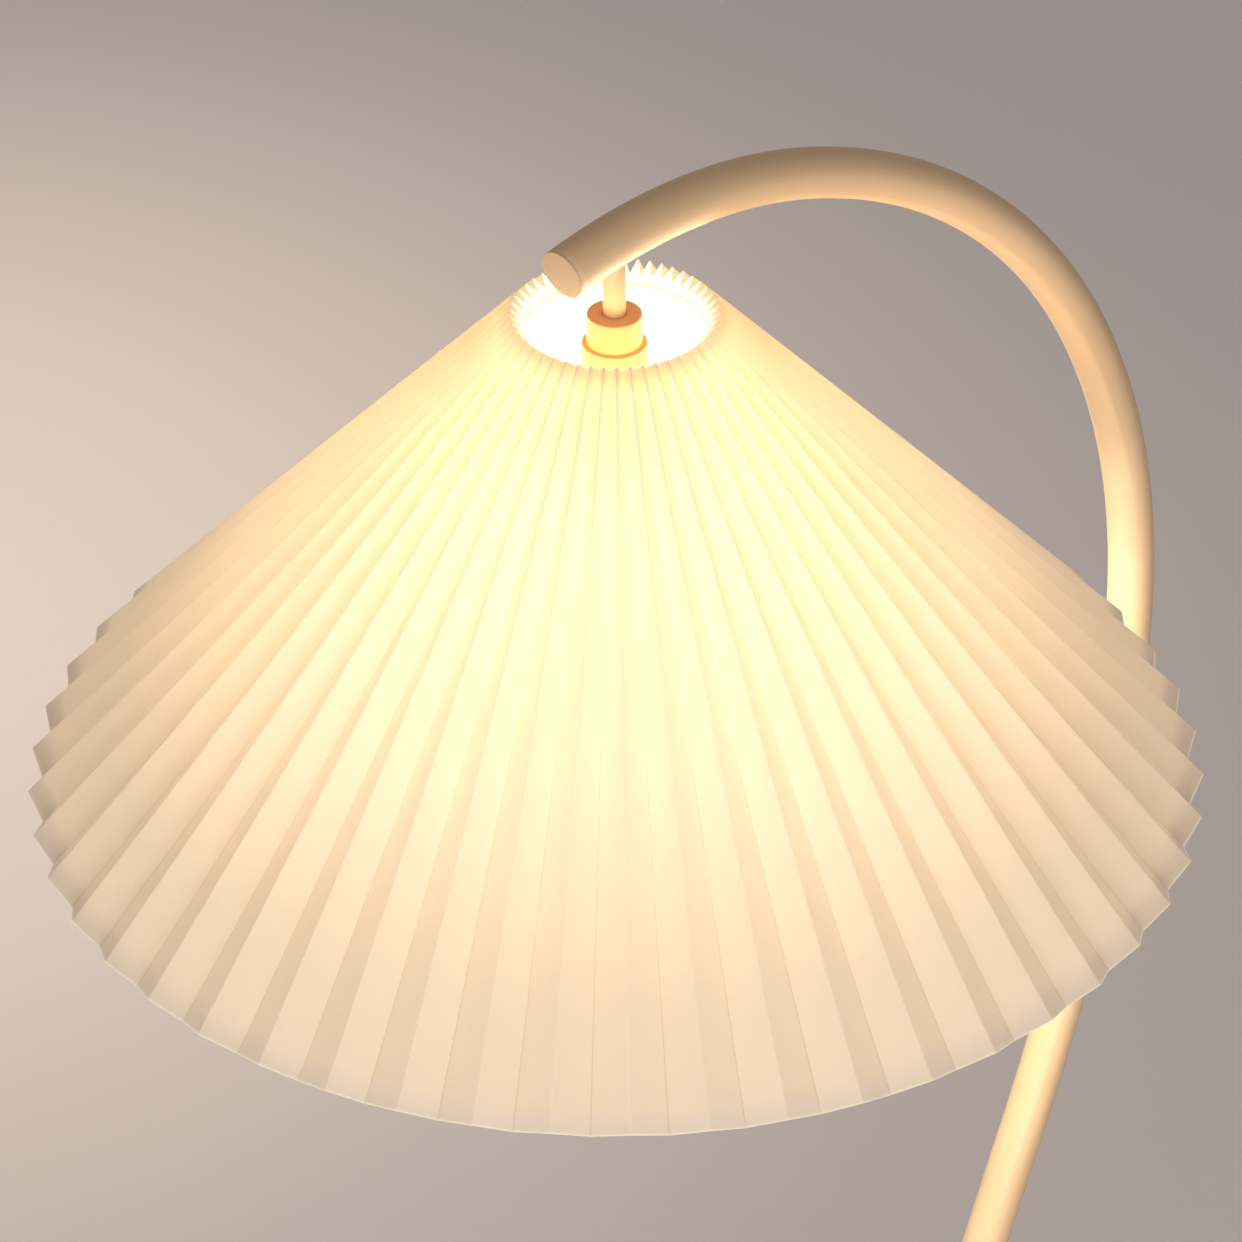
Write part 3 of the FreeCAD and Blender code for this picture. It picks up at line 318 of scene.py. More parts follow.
@dataclass(frozen=True)
class FoldedPaper:
    """The shade's sheet: a pale matt film with a fibrous grain that lets light through.

    Its UV map runs from 0 at an inner fold to 1 at an outer fold, and up the fold in metres.
    What is named low is at the sheet's lower edge, and what is named high at its upper edge. The
    glow is painted light: it stands for light that goes to and fro between the folds, and has a
    value of its own along the foot. The inner folds carry painted shade, and the outer folds and
    both cut edges a painted highlight.
    """

    name: str = "pleated_paper"
    colour: Colour = (0.92, 0.88, 0.8)
    fibre_colour: Colour = (0.88, 0.83, 0.73)
    crease_shade_colour: Colour = (0.8, 0.7, 0.54)
    through_colour: Colour = (0.97, 0.895, 0.8)
    fold_highlight_colour: Colour = (1.0, 0.97, 0.91)
    edge_highlight_glow: Colour = (0.5, 0.43, 0.33)
    glow_foot: Colour = (0.18, 0.135, 0.1)
    glow_low: Colour = (0.1, 0.078, 0.062)
    glow_high: Colour = (0.03, 0.02, 0.0)
    length: float = 312.1 * MM
    edge: float = 0.7 * MM
    foot: float = 13.0 * MM
    through_low: float = 0.5
    through_high: float = 0.155
    roughness: float = 0.62
    specular: float = 0.25
    sheen: float = 0.12
    cloud_scale: float = 16.0
    fibre_scale: float = 26.0
    fibre_stretch: float = 60.0
    fine_scale: float = 2600.0
    grain_depth: float = 0.12 * MM

    def material(self) -> bpy.types.Material:
        """Builds the finish's node tree the first time that it is asked for.

        Returns:
            The Blender material.
        """
        known = bpy.data.materials.get(self.name)
        if known is not None:
            return known
        recipe = Recipe(self.name)
        uv = recipe.node("UVMap", uv_map="Folds").outputs["UV"]
        split = recipe.node("SeparateXYZ", {0: uv})
        place = recipe.place()
        clouds = recipe.grain(place, self.cloud_scale, 5.0, 0.6)
        along = recipe.node("Mapping", {"Vector": uv, "Scale": (1.0, self.fibre_stretch, 1.0)})
        fibres = recipe.grain(along.outputs["Vector"], self.fibre_scale, 6.0, 0.7)
        fine = recipe.grain(place, self.fine_scale, 2.0, 0.5)
        strands = recipe.spread(fibres, 0.0, 0.55, 0.35, 0.75)
        body = recipe.blend(strands, self.colour, self.fibre_colour)
        body = recipe.blend(recipe.spread(clouds, 0.0, 0.35), body, self.fibre_colour)
        # painted shade: the sheet is darker along its inner folds
        crease_shade = recipe.spread(split.outputs["X"], 0.9, 0.0, 0.004, 0.03)
        # painted highlight: the sheet is lighter along its outer folds
        tip_highlight = recipe.spread(split.outputs["X"], 0.0, 0.6, 0.975, 0.995)
        front = recipe.blend(crease_shade, recipe.blend(tip_highlight, body, self.fold_highlight_colour), self.crease_shade_colour)
        height = recipe.sum("ADD", fibres, recipe.sum("MULTIPLY", fine, 0.6))
        normal = recipe.bump(height, self.grain_depth)
        up = split.outputs["Y"]
        # painted light: an emitted glow that changes from the sheet's foot to its upper edge
        rise = recipe.spread(up, 0.0, 1.0, 0.05, 0.3)
        # painted highlight: a glow along the sheet's lower and upper cut edges
        hem = recipe.spread(up, 1.0, 0.0, self.edge * 0.5, self.edge)
        brim = recipe.spread(
            up, 0.0, 1.0, self.length - self.edge, self.length - self.edge * 0.5
        )
        foot = recipe.spread(up, 1.0, 0.0, self.edge, self.foot)
        glow = recipe.blend(rise, recipe.blend(foot, self.glow_low, self.glow_foot), self.glow_high)
        glow = recipe.blend(recipe.sum("MAXIMUM", hem, brim), glow, self.edge_highlight_glow)
        surface = recipe.node(
            "BsdfPrincipled",
            {
                "Base Color": front,
                "Roughness": self.roughness,
                "Normal": normal,
                "Specular IOR Level": self.specular,
                "Sheen Weight": self.sheen,
                "Emission Color": glow,
                "Emission Strength": 1.0,
            },
        )
        # painted shade: the light let through is darker along the inner folds too
        behind = recipe.blend(crease_shade, self.through_colour, self.crease_shade_colour)
        through = recipe.node("BsdfTranslucent", {"Color": behind, "Normal": normal})
        # painted light: more light gets through near the lower edge than the upper, which evens out
        # the glow from top to bottom
        share = recipe.spread(up, self.through_low, self.through_high, 0.02, 0.28)
        mixed = recipe.node("MixShader", {0: share, 1: surface.outputs[0], 2: through.outputs[0]})
        return recipe.output(mixed.outputs[0])


@dataclass(frozen=True)
class FrostedGlass:
    """Opal glass of a lit bulb: it glows by itself, a little unevenly."""

    name: str = "opal_glass"
    colour: Colour = (1.0, 0.94, 0.82)
    haze_colour: Colour = (0.96, 0.88, 0.75)
    glow: Colour = (1.0, 0.8, 0.5)
    haze_glow: Colour = (1.0, 0.88, 0.66)
    strength: float = 4.0
    clear_share: float = 0.35
    index: float = 1.45
    haze_scale: float = 90.0
    fine_scale: float = 3000.0
    fine_depth: float = 0.02 * MM

    def material(self) -> bpy.types.Material:
        """Builds the finish's node tree the first time that it is asked for.

        Returns:
            The Blender material.
        """
        known = bpy.data.materials.get(self.name)
        if known is not None:
            return known
        recipe = Recipe(self.name)
        place = recipe.place()
        haze = recipe.grain(place, self.haze_scale, 3.0)
        fine = recipe.grain(place, self.fine_scale, 2.0)
        inputs = {
            "Base Color": recipe.blend(
                recipe.spread(haze, 0.0, 0.2), self.colour, self.haze_colour
            ),
            "Roughness": recipe.spread(fine, 0.28, 0.4),
            "Transmission Weight": self.clear_share,
            "IOR": self.index,
            "Emission Color": recipe.blend(
                recipe.spread(haze, 0.0, 0.3), self.glow, self.haze_glow
            ),
            "Emission Strength": self.strength,
            "Normal": recipe.bump(fine, self.fine_depth),
        }
        shader = recipe.node("BsdfPrincipled", inputs)
        return recipe.output(shader.outputs[0])


TUBE_PAINT = Coat(
    "cream_powder_coat", (0.82, 0.59, 0.36), (0.78, 0.55, 0.33), roughness=0.42,
    patch_scale=22.0, grain_scale=1100.0, grain_depth=0.00005, coat=0.12,
)
# painted light: the cream enamel is made orange, for the warm light that the holder gets from the
# lit shade
LAMPLIT_HOLDER_PAINT = Coat(
    "cream_holder_enamel_painted_lamplight", (0.93, 0.5, 0.23), (0.9, 0.47, 0.21), roughness=0.36,
    patch_scale=60.0, grain_scale=2200.0, grain_depth=0.00002, coat=0.2,
)
# painted light: the wires glow a little, as if lit by the shade round them
WIRE_PAINT = Coat(
    "white_wire_enamel", (0.9, 0.87, 0.8), (0.87, 0.83, 0.75), roughness=0.35,
    grain_scale=2400.0, grain_depth=0.00002, coat=0.25, glow=(1.0, 0.88, 0.68), glow_strength=0.3,
)
ZINC = Coat(
    "zinc_plated_steel", (0.60, 0.60, 0.59), (0.5, 0.5, 0.5), roughness=0.34, metallic=1.0,
    grain_scale=900.0, grain_depth=0.00003, stretch=(1.0, 1.0, 7.0), patch_scale=80.0,
)
CAST = Coat(
    "blacked_cast_iron", (0.055, 0.055, 0.06), (0.085, 0.08, 0.078), roughness=0.68,
    metallic=0.6, grain_scale=500.0, grain_depth=0.0003, patch_scale=45.0,
)
RUBBER = Coat(
    "black_rubber", (0.03, 0.03, 0.031), (0.045, 0.044, 0.043), roughness=0.78,
    grain_scale=1500.0, grain_depth=0.0001, specks=0.3, speck_colour=(0.12, 0.12, 0.12),
)
IVORY = Coat(
    "moulded_ivory", (0.76, 0.62, 0.45), (0.73, 0.59, 0.42), roughness=0.4,
    grain_scale=1900.0, grain_depth=0.00003, subsurface=0.08,
)
SHEATH = Coat(
    "lead_sheath_pvc", (0.78, 0.76, 0.7), (0.72, 0.7, 0.64), roughness=0.5,
    grain_scale=1700.0, grain_depth=0.00004,
)
CERAMIC = Coat(
    "insulator_steatite", (0.86, 0.85, 0.8), (0.8, 0.78, 0.72), roughness=0.5,
    grain_scale=1300.0, grain_depth=0.00005, specks=0.25,
)
BRASS = Coat(
    "contact_brass", (0.78, 0.56, 0.26), (0.66, 0.46, 0.2), roughness=0.3, metallic=1.0,
    grain_scale=1200.0, grain_depth=0.00002,
)
BULB_METAL = Coat(
    "bulb_cap_nickel", (0.72, 0.71, 0.69), (0.6, 0.59, 0.57), roughness=0.24, metallic=1.0,
    grain_scale=1200.0, grain_depth=0.00002,
)
BULB_PLASTIC = Coat(
    "bulb_collar_plastic", (0.88, 0.87, 0.83), (0.84, 0.83, 0.78), roughness=0.45,
    grain_scale=1600.0, grain_depth=0.00003, subsurface=0.1,
)
LIGHT_ROD = Coat(
    "bulb_light_rod", (1.0, 0.9, 0.7), (1.0, 0.85, 0.6), roughness=0.5,
    glow=(1.0, 0.78, 0.45), glow_strength=12.0,
)
PAPER = FoldedPaper()
# painted light: the cut edge glows a little
PAPER_EDGE = Coat(
    "pleated_paper_cut_edge", (0.95, 0.9, 0.82), (0.92, 0.86, 0.76), roughness=0.7,
    grain_scale=1800.0, grain_depth=0.00004, glow=(1.0, 0.86, 0.66), glow_strength=0.75,
)
# painted light: the inside faces glow strongly towards the top, standing for the shade's brightly
# lit inside
PAPER_INSIDE = FoldedPaper(
    name="pleated_paper_inside", glow_low=(0.35, 0.28, 0.2), glow_high=(2.7, 1.95, 1.05)
)
OPAL = FrostedGlass()

# CAD nodes whose shape is shown as it is, with the finish that each gets.
SHOWN_NODES: dict[str, Coat] = {
    "bottom_plate": ZINC,
    "base_weight": CAST,
    "base_stud": ZINC,
    "base_washer": ZINC,
    "base_nut": ZINC,
    "socket_screws": ZINC,
    "terminal_block": IVORY,
    "switch_housing": IVORY,
    "lower_coupler": ZINC,
    "upper_coupler": ZINC,
    "tube_lead": SHEATH,
    "hanger_nut": ZINC,
    "holder_nut": ZINC,
    "saddle_washer": ZINC,
    "holder_insert": CERAMIC,
    "screw_shell": BRASS,
    "centre_contact": BRASS,
}


# --- shaping --------------------------------------------------------------------------------------


def middle_of(node: str) -> Vector:
    """The middle of a CAD node's box."""
    low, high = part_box(node)
    return (low + high) / 2


def turned(
    profile: Profile, at: Vector, rounding: Optional[dict[int, float]] = None, steps: int = 96
) -> bmesh.types.BMesh:
    """A shape turned about a vertical axis.

    Args:
        profile: corners as (radius, height over at). It is closed, unless both its ends lie on
            the axis.
        at: a point of the axis.
        rounding: the radius of a corner's arc, by the corner's number.
        steps: facets round the axis.

    Returns:
        The closed shape.
    """
    shape = bmesh.new()
    corners = [shape.verts.new((radius, 0.0, height)) for radius, height in profile]
    for first, second in zip(corners, corners[1:]):
        shape.edges.new((first, second))
    if profile[0][0] > MERGE or profile[-1][0] > MERGE:
        shape.edges.new((corners[-1], corners[0]))
    by_radius: dict[float, list] = {}
    for number, radius in (rounding or {}).items():
        by_radius.setdefault(radius, []).append(corners[number])
    for radius, chosen in by_radius.items():
        bmesh.ops.bevel(
            shape, geom=chosen, offset=radius, offset_type="OFFSET", segments=ARC_STEPS,
            profile=0.5, affect="VERTICES", clamp_overlap=True, material=-1,
        )
    bmesh.ops.spin(
        shape, geom=shape.verts[:] + shape.edges[:], cent=ORIGIN, axis=UP, dvec=ORIGIN,
        angle=math.tau, steps=steps, use_merge=True, use_duplicate=False,
    )
    bmesh.ops.remove_doubles(shape, verts=shape.verts[:], dist=MERGE)
    bmesh.ops.recalc_face_normals(shape, faces=shape.faces[:])
    bmesh.ops.translate(shape, verts=shape.verts[:], vec=at)
    return shape


def wire_between(
    shape: bmesh.types.BMesh, start: Vector, end: Vector, radius: float, facets: int = 20
) -> None:
    """Adds a straight round wire with closed ends to a shape.

    Args:
        shape: what it is added to.
        start: the middle of its first end.
        end: the middle of its other end.
        radius: the wire's radius.
        facets: facets round the wire.
    """
    along = end - start
    turn = along.to_track_quat("Z", "Y").to_matrix().to_4x4()
    bmesh.ops.create_cone(
        shape, cap_ends=True, segments=facets, radius1=radius, radius2=radius,
        depth=along.length, matrix=Matrix.Translation((start + end) / 2) @ turn,
    )


def weld_bead(shape: bmesh.types.BMesh, at: Vector, radius: float, along: Vector) -> None:
    """Adds the small smooth lump of a weld.

    Args:
        shape: what it is added to.
        at: its middle.
        radius: its radius across the wire.
        along: the wire's direction, which it is drawn out in.
    """
    drawn_out = 1.7
    turn = along.to_track_quat("Z", "Y").to_matrix().to_4x4()
    matrix = Matrix.Translation(at) @ turn @ Matrix.Diagonal((1.0, 1.0, drawn_out, 1.0))
    bmesh.ops.create_icosphere(shape, subdivisions=3, radius=radius, matrix=matrix)


def join_into(shape: bmesh.types.BMesh, other: bmesh.types.BMesh) -> None:
    """Adds a copy of another shape to a shape.

    Args:
        shape: what it is added to.
        other: the other shape, which is freed.
    """
    carrier = bpy.data.meshes.new("carrier")
    other.to_mesh(carrier)
    other.free()
    shape.from_mesh(carrier)
    bpy.data.meshes.remove(carrier)


def settle(
    shape: bmesh.types.BMesh, name: str, body: Body, slot: Slot, finish: object,
    replaces: Iterable[str] = (), sharp: float = 32.0,
) -> bpy.types.Object:
    """Makes a piece of the lamp out of a finished shape.

    Args:
        shape: the shape, which is freed.
        name: the piece's name.
        body: what it moves with.
        slot: the record's slot that it is finished as.
        finish: its finish.
        replaces: the CAD nodes that it stands for.
        sharp: edges that turn by more than this many degrees stay sharp.

    Returns:
        The piece's object.
    """
    mesh = bpy.data.meshes.new(name)
    shape.to_mesh(mesh)
    shape.free()
    mesh.shade_smooth()
    mesh.set_sharp_from_angle(angle=math.radians(sharp))
    mesh.materials.append(finish.material())
    piece = bpy.data.objects.new(name, mesh)
    bpy.context.scene.collection.objects.link(piece)
    if slot is Slot.WIRE:  # a lit shade's light is too soft for its wires to show through it
        piece.visible_shadow = piece.visible_diffuse = piece.visible_transmission = False
    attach(piece, body.value)
    nodes = list(replaces)
    if nodes:
        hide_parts(*nodes)
    LOG.info("%s: %d faces", name, len(mesh.polygons))
    return piece


# --- base -----------------------------------------------------------------------------------------


@dataclass
class Base:
    """The weighted round base with its pads, cover, cord gland and foot switch."""

    cover_wall: float = 1.5 * MM
    cover_edge: float = 5.0 * MM
    cover_hem: float = 0.5 * MM
    pad_radius: float = 9.0 * MM
    pads_round: int = 6
    pad_chamfer: float = 0.8 * MM
    pad_groove: float = 0.5 * MM
    gland_bore: float = 3.5 * MM
    gland_neck: float = 5.0 * MM
    gland_flange: float = 2.0 * MM
    socket_bore: float = 11.1 * MM
    socket_hole: float = 7.104 * MM
    socket_seat: float = 14.0 * MM
    socket_shadow_line: tuple[float, float] = (0.6 * MM, 1.0 * MM)
    cover_hole: float = 7.215 * MM
    bezel_neck: float = 12.9 * MM
    bezel_rim: float = 2.0 * MM
    bezel_gap: float = 0.1 * MM
    button_dish: float = 0.9 * MM
    button_radius: float = 11.0 * MM
    button_step: float = 2.0 * MM
    button_travel: float = 3.0 * MM
    spring_wire: float = 0.5 * MM
    spring_turns: int = 4
    spring_steps: int = 32
    screw_circle: float = 95.0 * MM
    screw_head: float = 4.0 * MM
    screw_shank: float = 2.0 * MM
    screw_recess: float = 0.9 * MM

    def build(self) -> None:
        """Builds and dresses every piece of the base."""
        self.pads()
        self.cover()
        self.socket()
        self.gland()
        self.bezel()
        self.button()
        self.spring()
        self.screws()

    def pads(self) -> None:
        """Round rubber feet with a chamfered rim and a ring groove underneath."""
        low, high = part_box("base_pads")
        thick, radius = high.z - low.z, self.pad_radius
        circle = max(high.x, high.y) - radius
        pitch = FULL_CIRCLE / self.pads_round
        spots = [Vector((0.0, 0.0, low.z))]
        for number in range(self.pads_round):
            angle = math.radians(pitch / 2 + pitch * number)
            spots.append(Vector((circle * math.cos(angle), circle * math.sin(angle), low.z)))
        shape = bmesh.new()
        for spot in spots:
            profile = [
                (0.0, 0.0), (radius * 0.5, 0.0), (radius * 0.55, self.pad_groove),
                (radius * 0.62, self.pad_groove), (radius * 0.67, 0.0),
                (radius - self.pad_chamfer, 0.0), (radius, self.pad_chamfer), (radius, thick),
                (0.0, thick),
            ]
            join_into(shape, turned(profile, spot, {5: 0.3 * MM, 6: 0.3 * MM}, 40))
        settle(shape, "pads", Body.STAND, Slot.RUBBER, RUBBER, ["base_pads"])

    def cover(self) -> None:
        """Pressed cover: a flat top with a wide rolled edge and a small turned-in hem."""
        low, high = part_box("base_cover")
        radius, height = high.x, high.z - low.z
        wall, hole = self.cover_wall, self.cover_hole
        profile = [
            (hole, height - wall), (radius - wall, height - wall), (radius - wall, 0.0),
            (radius, 0.0), (radius, height), (hole, height),
        ]
        hem, edge = self.cover_hem, self.cover_edge
        rounding = {1: edge - wall, 4: edge, 3: hem, 2: hem}
        shape = turned(profile, Vector((0.0, 0.0, low.z)), rounding, 192)
        settle(shape, "cover", Body.STAND, Slot.CREAM_PAINT, TUBE_PAINT, ["base_cover"])

    def socket(self) -> None:
        """Turned collar round the tube's foot, with a fillet at its rim and a shadow line below."""
        low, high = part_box("stem_socket")
        radius, height = high.x, high.z - low.z
        bore, hole, seat = self.socket_bore, self.socket_hole, self.socket_seat
        inset, line = self.socket_shadow_line
        profile = [
            (hole, 0.0), (radius - inset, 0.0), (radius - inset, line), (radius, line),
            (radius, height), (bore, height), (bore, seat), (hole, seat),
        ]
        rounding = {3: 0.3 * MM, 4: 1.5 * MM, 5: 0.6 * MM}
        shape = turned(profile, Vector((0.0, 0.0, low.z)), rounding, 96)
        settle(shape, "socket", Body.STAND, Slot.CREAM_PAINT, TUBE_PAINT, ["stem_socket"])

    def gland(self) -> None:
        """Bush for the mains cord, its mouth rounded so that it can't cut the cord."""
        low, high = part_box("cord_gland")
        length, rim = high.x - low.x, (high.z - low.z) / 2
        profile = [
            (self.gland_bore, 0.0), (self.gland_neck, 0.0),
            (self.gland_neck, length - self.gland_flange), (rim, length - self.gland_flange),
            (rim, length), (self.gland_bore, length),
        ]
        rounding = {3: 0.3 * MM, 4: 0.8 * MM, 5: 0.7 * MM, 0: 0.4 * MM}
        shape = turned(profile, ORIGIN, rounding, 64)
        turn = Matrix.Rotation(math.radians(90.0), 4, "Y")
        spot = Matrix.Translation(Vector((low.x, 0.0, (low.z + high.z) / 2)))
        bmesh.ops.transform(shape, matrix=spot @ turn, verts=shape.verts[:])
        settle(shape, "gland", Body.STAND, Slot.IVORY, IVORY, ["cord_gland"])

    def bezel(self) -> None:
        """Ring round the foot button."""
        low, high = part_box("switch_bezel")
        middle = middle_of("switch_bezel")
        rim, height = (high.x - low.x) / 2, high.z - low.z
        bore, neck = self.button_radius + self.bezel_gap, self.bezel_neck
        step = height - self.bezel_rim
        profile = [
            (bore, 0.0), (neck, 0.0), (neck, step), (rim, step), (rim, height), (bore, height),
        ]
        rounding = {3: 0.3 * MM, 4: 1.0 * MM, 5: 0.5 * MM}
        shape = turned(profile, Vector((middle.x, middle.y, low.z)), rounding, 96)
        settle(shape, "bezel", Body.STAND, Slot.CREAM_PAINT, TUBE_PAINT, ["switch_bezel"])

    def button(self) -> None:
        """Foot button: a shallow dish inside a raised lip."""
        low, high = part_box("foot_button")
        middle = middle_of("foot_button")
        rim, height, radius = (high.x - low.x) / 2, high.z - low.z, self.button_radius
        dish = self.button_dish
        profile = [
            (0.0, 0.0), (rim, 0.0), (rim, self.button_step), (radius, self.button_step),
            (radius, height), (radius * 0.8, height), (radius * 0.7, height - dish),
            (radius * 0.35, height - dish * 1.2), (0.0, height - dish * 1.3),
        ]
        rounding = {4: 1.5 * MM, 5: 0.8 * MM, 6: 0.8 * MM}
        shape = turned(profile, Vector((middle.x, middle.y, low.z)), rounding, 96)
        settle(shape, "button_top", Body.BUTTON, Slot.IVORY, IVORY, ["foot_button"])

    def spring(self) -> None:
        """Coil spring under the button, drawn at its rest length; on the lamp it shortens by as
        much as the button goes down.
        """
        low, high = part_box("switch_spring")
        middle = middle_of("switch_spring")
        wire, height = self.spring_wire, high.z - low.z
        start = Vector(((high.x - low.x) / 2 - wire, 0.0, low.z + wire))
        upright = Matrix.Translation(start) @ Matrix.Rotation(math.radians(90.0), 4, "X")
        steps = self.spring_steps * self.spring_turns
        shape = bmesh.new()
        bmesh.ops.create_circle(shape, cap_ends=False, segments=14, radius=wire, matrix=upright)
        bmesh.ops.spin(
            shape, geom=shape.verts[:] + shape.edges[:], cent=ORIGIN, axis=UP,
            dvec=UP * (height - 2.0 * wire) / steps, angle=math.tau * self.spring_turns,
            steps=steps, use_merge=False, use_duplicate=False,
        )
        bmesh.ops.holes_fill(shape, edges=shape.edges[:], sides=0)
        bmesh.ops.recalc_face_normals(shape, faces=shape.faces[:])
        bmesh.ops.translate(shape, verts=shape.verts[:], vec=(middle.x, middle.y, 0.0))
        coil = settle(shape, "spring_coil", Body.STAND, Slot.ZINC, ZINC, ["switch_spring"])
        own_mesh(coil)

    def screws(self) -> None:
        """Countersunk screws of the bottom plate, with a round recess in each head."""
        low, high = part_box("plate_screws")
        circle, shank, length = self.screw_circle, self.screw_shank, high.z - low.z
        shape = bmesh.new()
        for number in range(4):
            angle = math.radians(45.0 + 90.0 * number)
            spot = Vector((circle * math.cos(angle), circle * math.sin(angle), low.z))
            profile = [
                (0.0, self.screw_recess), (self.screw_recess, 0.2 * MM), (1.5 * MM, 0.05 * MM),
                (self.screw_head, 0.0), (shank, 1.5 * MM), (shank, length), (0.0, length),
            ]
            join_into(shape, turned(profile, spot, {5: 0.4 * MM}, 24))
        settle(shape, "plate_screws_made", Body.STAND, Slot.ZINC, ZINC, ["plate_screws"])


# --- tube -----------------------------------------------------------------------------------------


@dataclass(frozen=True)
class Run:
    """A straight stretch of tube."""

    length: float


@dataclass(frozen=True)
class Bend:
    """A bend of tube: its centreline's radius, and its turn to the left in degrees."""

    radius: float
    turn: float


@dataclass
class Tube:
    """The bent tube in its three lengths, with the cap on its end."""

    radius: float = 11.0 * MM
    wall: float = 1.5 * MM
    facets: int = 56
    bend_step: float = 1.2
    edge: float = 0.35 * MM
    lower: tuple = (Run(44.0 * MM), Bend(180.0 * MM, -22.68), Run(325.0 * MM))
    middle: tuple = (Run(325.0 * MM),)
    arc: tuple = (
        Run(119.5 * MM), Bend(756.8 * MM, 21.31), Bend(352.2 * MM, 71.63), Bend(273.1 * MM, 30.25)
    )
    cap_thickness: float = 1.2 * MM
    cap_edge: float = 0.25 * MM
    plug_length: float = 8.0 * MM
    plug_gap: float = 0.1 * MM

    def build(self) -> list[bpy.types.Object]:
        """Builds the three lengths from the foot up, and the end cap.

        Returns:
            The three lengths.
        """
        made = []
        start, heading = Vector((0.0, 0.0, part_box("lower_tube")[0].z)), 90.0
        for name, steps in (
            ("lower_tube", self.lower), ("middle_tube", self.middle), ("arc_tube", self.arc)
        ):
            shape, start, heading = self.bent(start, heading, steps)
            made.append(settle(
                shape, name + "_skin", Body.STAND, Slot.CREAM_PAINT, TUBE_PAINT, [name], sharp=40.0
            ))
        self.end_cap(start, heading)
        return made

    def bent(
        self, start: Vector, heading: float, steps: Sequence[object]
    ) -> tuple[bmesh.types.BMesh, Vector, float]:
        """Bends one length of tube.

        Args:
            start: where its centreline starts.
            heading: which way it starts, in degrees from +X towards +Z.
            steps: its runs and bends.

        Returns:
            The shape, and the place and heading of its end.
        """
        shape = bmesh.new()
        inner = self.radius - self.wall
        turn = self.direction(heading).to_track_quat("Z", "Y").to_matrix().to_4x4()
        matrix = Matrix.Translation(start) @ turn
        loops = []
        for radius in (self.radius, inner):
            ring = bmesh.ops.create_circle(
                shape, cap_ends=False, segments=self.facets, radius=radius, matrix=matrix
            )
            loops += list({edge for vert in ring["verts"] for edge in vert.link_edges})
        mouth = bmesh.ops.bridge_loops(shape, edges=loops)
        front = loops
        spot = start.copy()
        for step in steps:
            if isinstance(step, Run):
                made = bmesh.ops.extrude_edge_only(shape, edges=front)["geom"]
                move = self.direction(heading) * step.length
                verts = [part for part in made if isinstance(part, bmesh.types.BMVert)]
                bmesh.ops.translate(shape, verts=verts, vec=move)
                front = self.far_edges(made, verts)
                spot += move
            else:
                side = 1.0 if step.turn > 0 else -1.0
                centre = spot + self.direction(heading + 90.0 * side) * step.radius
                count = max(4, round(abs(step.turn) / self.bend_step))
                made = bmesh.ops.spin(
                    shape, geom=front, cent=centre, axis=(0.0, -1.0, 0.0), dvec=ORIGIN,
                    angle=math.radians(step.turn), steps=count, use_merge=False,
                    use_duplicate=False,
                )["geom_last"]
                front = [part for part in made if isinstance(part, bmesh.types.BMEdge)]
                heading += step.turn
                spot = centre - self.direction(heading + 90.0 * side) * step.radius
        end = bmesh.ops.bridge_loops(shape, edges=front)
        bmesh.ops.recalc_face_normals(shape, faces=shape.faces[:])
        rims = {edge for face in mouth["faces"] + end["faces"] for edge in face.edges}
        rims = [edge for edge in rims if edge.calc_face_angle(0.0) > 1.0]
        bmesh.ops.bevel(
            shape, geom=rims, offset=self.edge, offset_type="OFFSET", segments=2, profile=0.5,
            affect="EDGES", clamp_overlap=True, material=-1,
        )
        return shape, spot, heading

    @staticmethod
    def far_edges(made: list, verts: list) -> list:
        """The far edges of an extrusion.

        Args:
            made: everything that the extrusion made.
            verts: its new corners.

        Returns:
            The edges that join new corners to each other.
        """
        fresh = set(verts)
        edges = [part for part in made if isinstance(part, bmesh.types.BMEdge)]
        return [edge for edge in edges if set(edge.verts) <= fresh]

    @staticmethod
    def direction(heading: float) -> Vector:
        """A heading's direction in the XZ plane."""
        angle = math.radians(heading)
        return Vector((math.cos(angle), 0.0, math.sin(angle)))

    def end_cap(self, end: Vector, heading: float) -> None:
        """Flat cap over the tube's end, its plug hidden in the tube.

        Args:
            end: the middle of the tube's end.
            heading: the tube's heading there, in degrees.
        """
        depth, thick = self.plug_length, self.cap_thickness
        plug = self.radius - self.wall - self.plug_gap
        profile = [
            (0.0, 0.0), (plug, 0.0), (plug, depth), (self.radius, depth),
            (self.radius, depth + thick), (0.0, depth + thick),
        ]
        rounding = {1: 0.4 * MM, 3: 0.12 * MM, 4: self.cap_edge}
        shape = turned(profile, ORIGIN, rounding, self.facets)
        turn = self.direction(heading).to_track_quat("Z", "Y").to_matrix().to_4x4()
        spot = Matrix.Translation(end - self.direction(heading) * depth)
        bmesh.ops.transform(shape, matrix=spot @ turn, verts=shape.verts[:])
        settle(shape, "end_cap", Body.STAND, Slot.CREAM_PAINT, TUBE_PAINT, ["tip_cap"])


# --- hanger and lampholder ------------------------------------------------------------------------


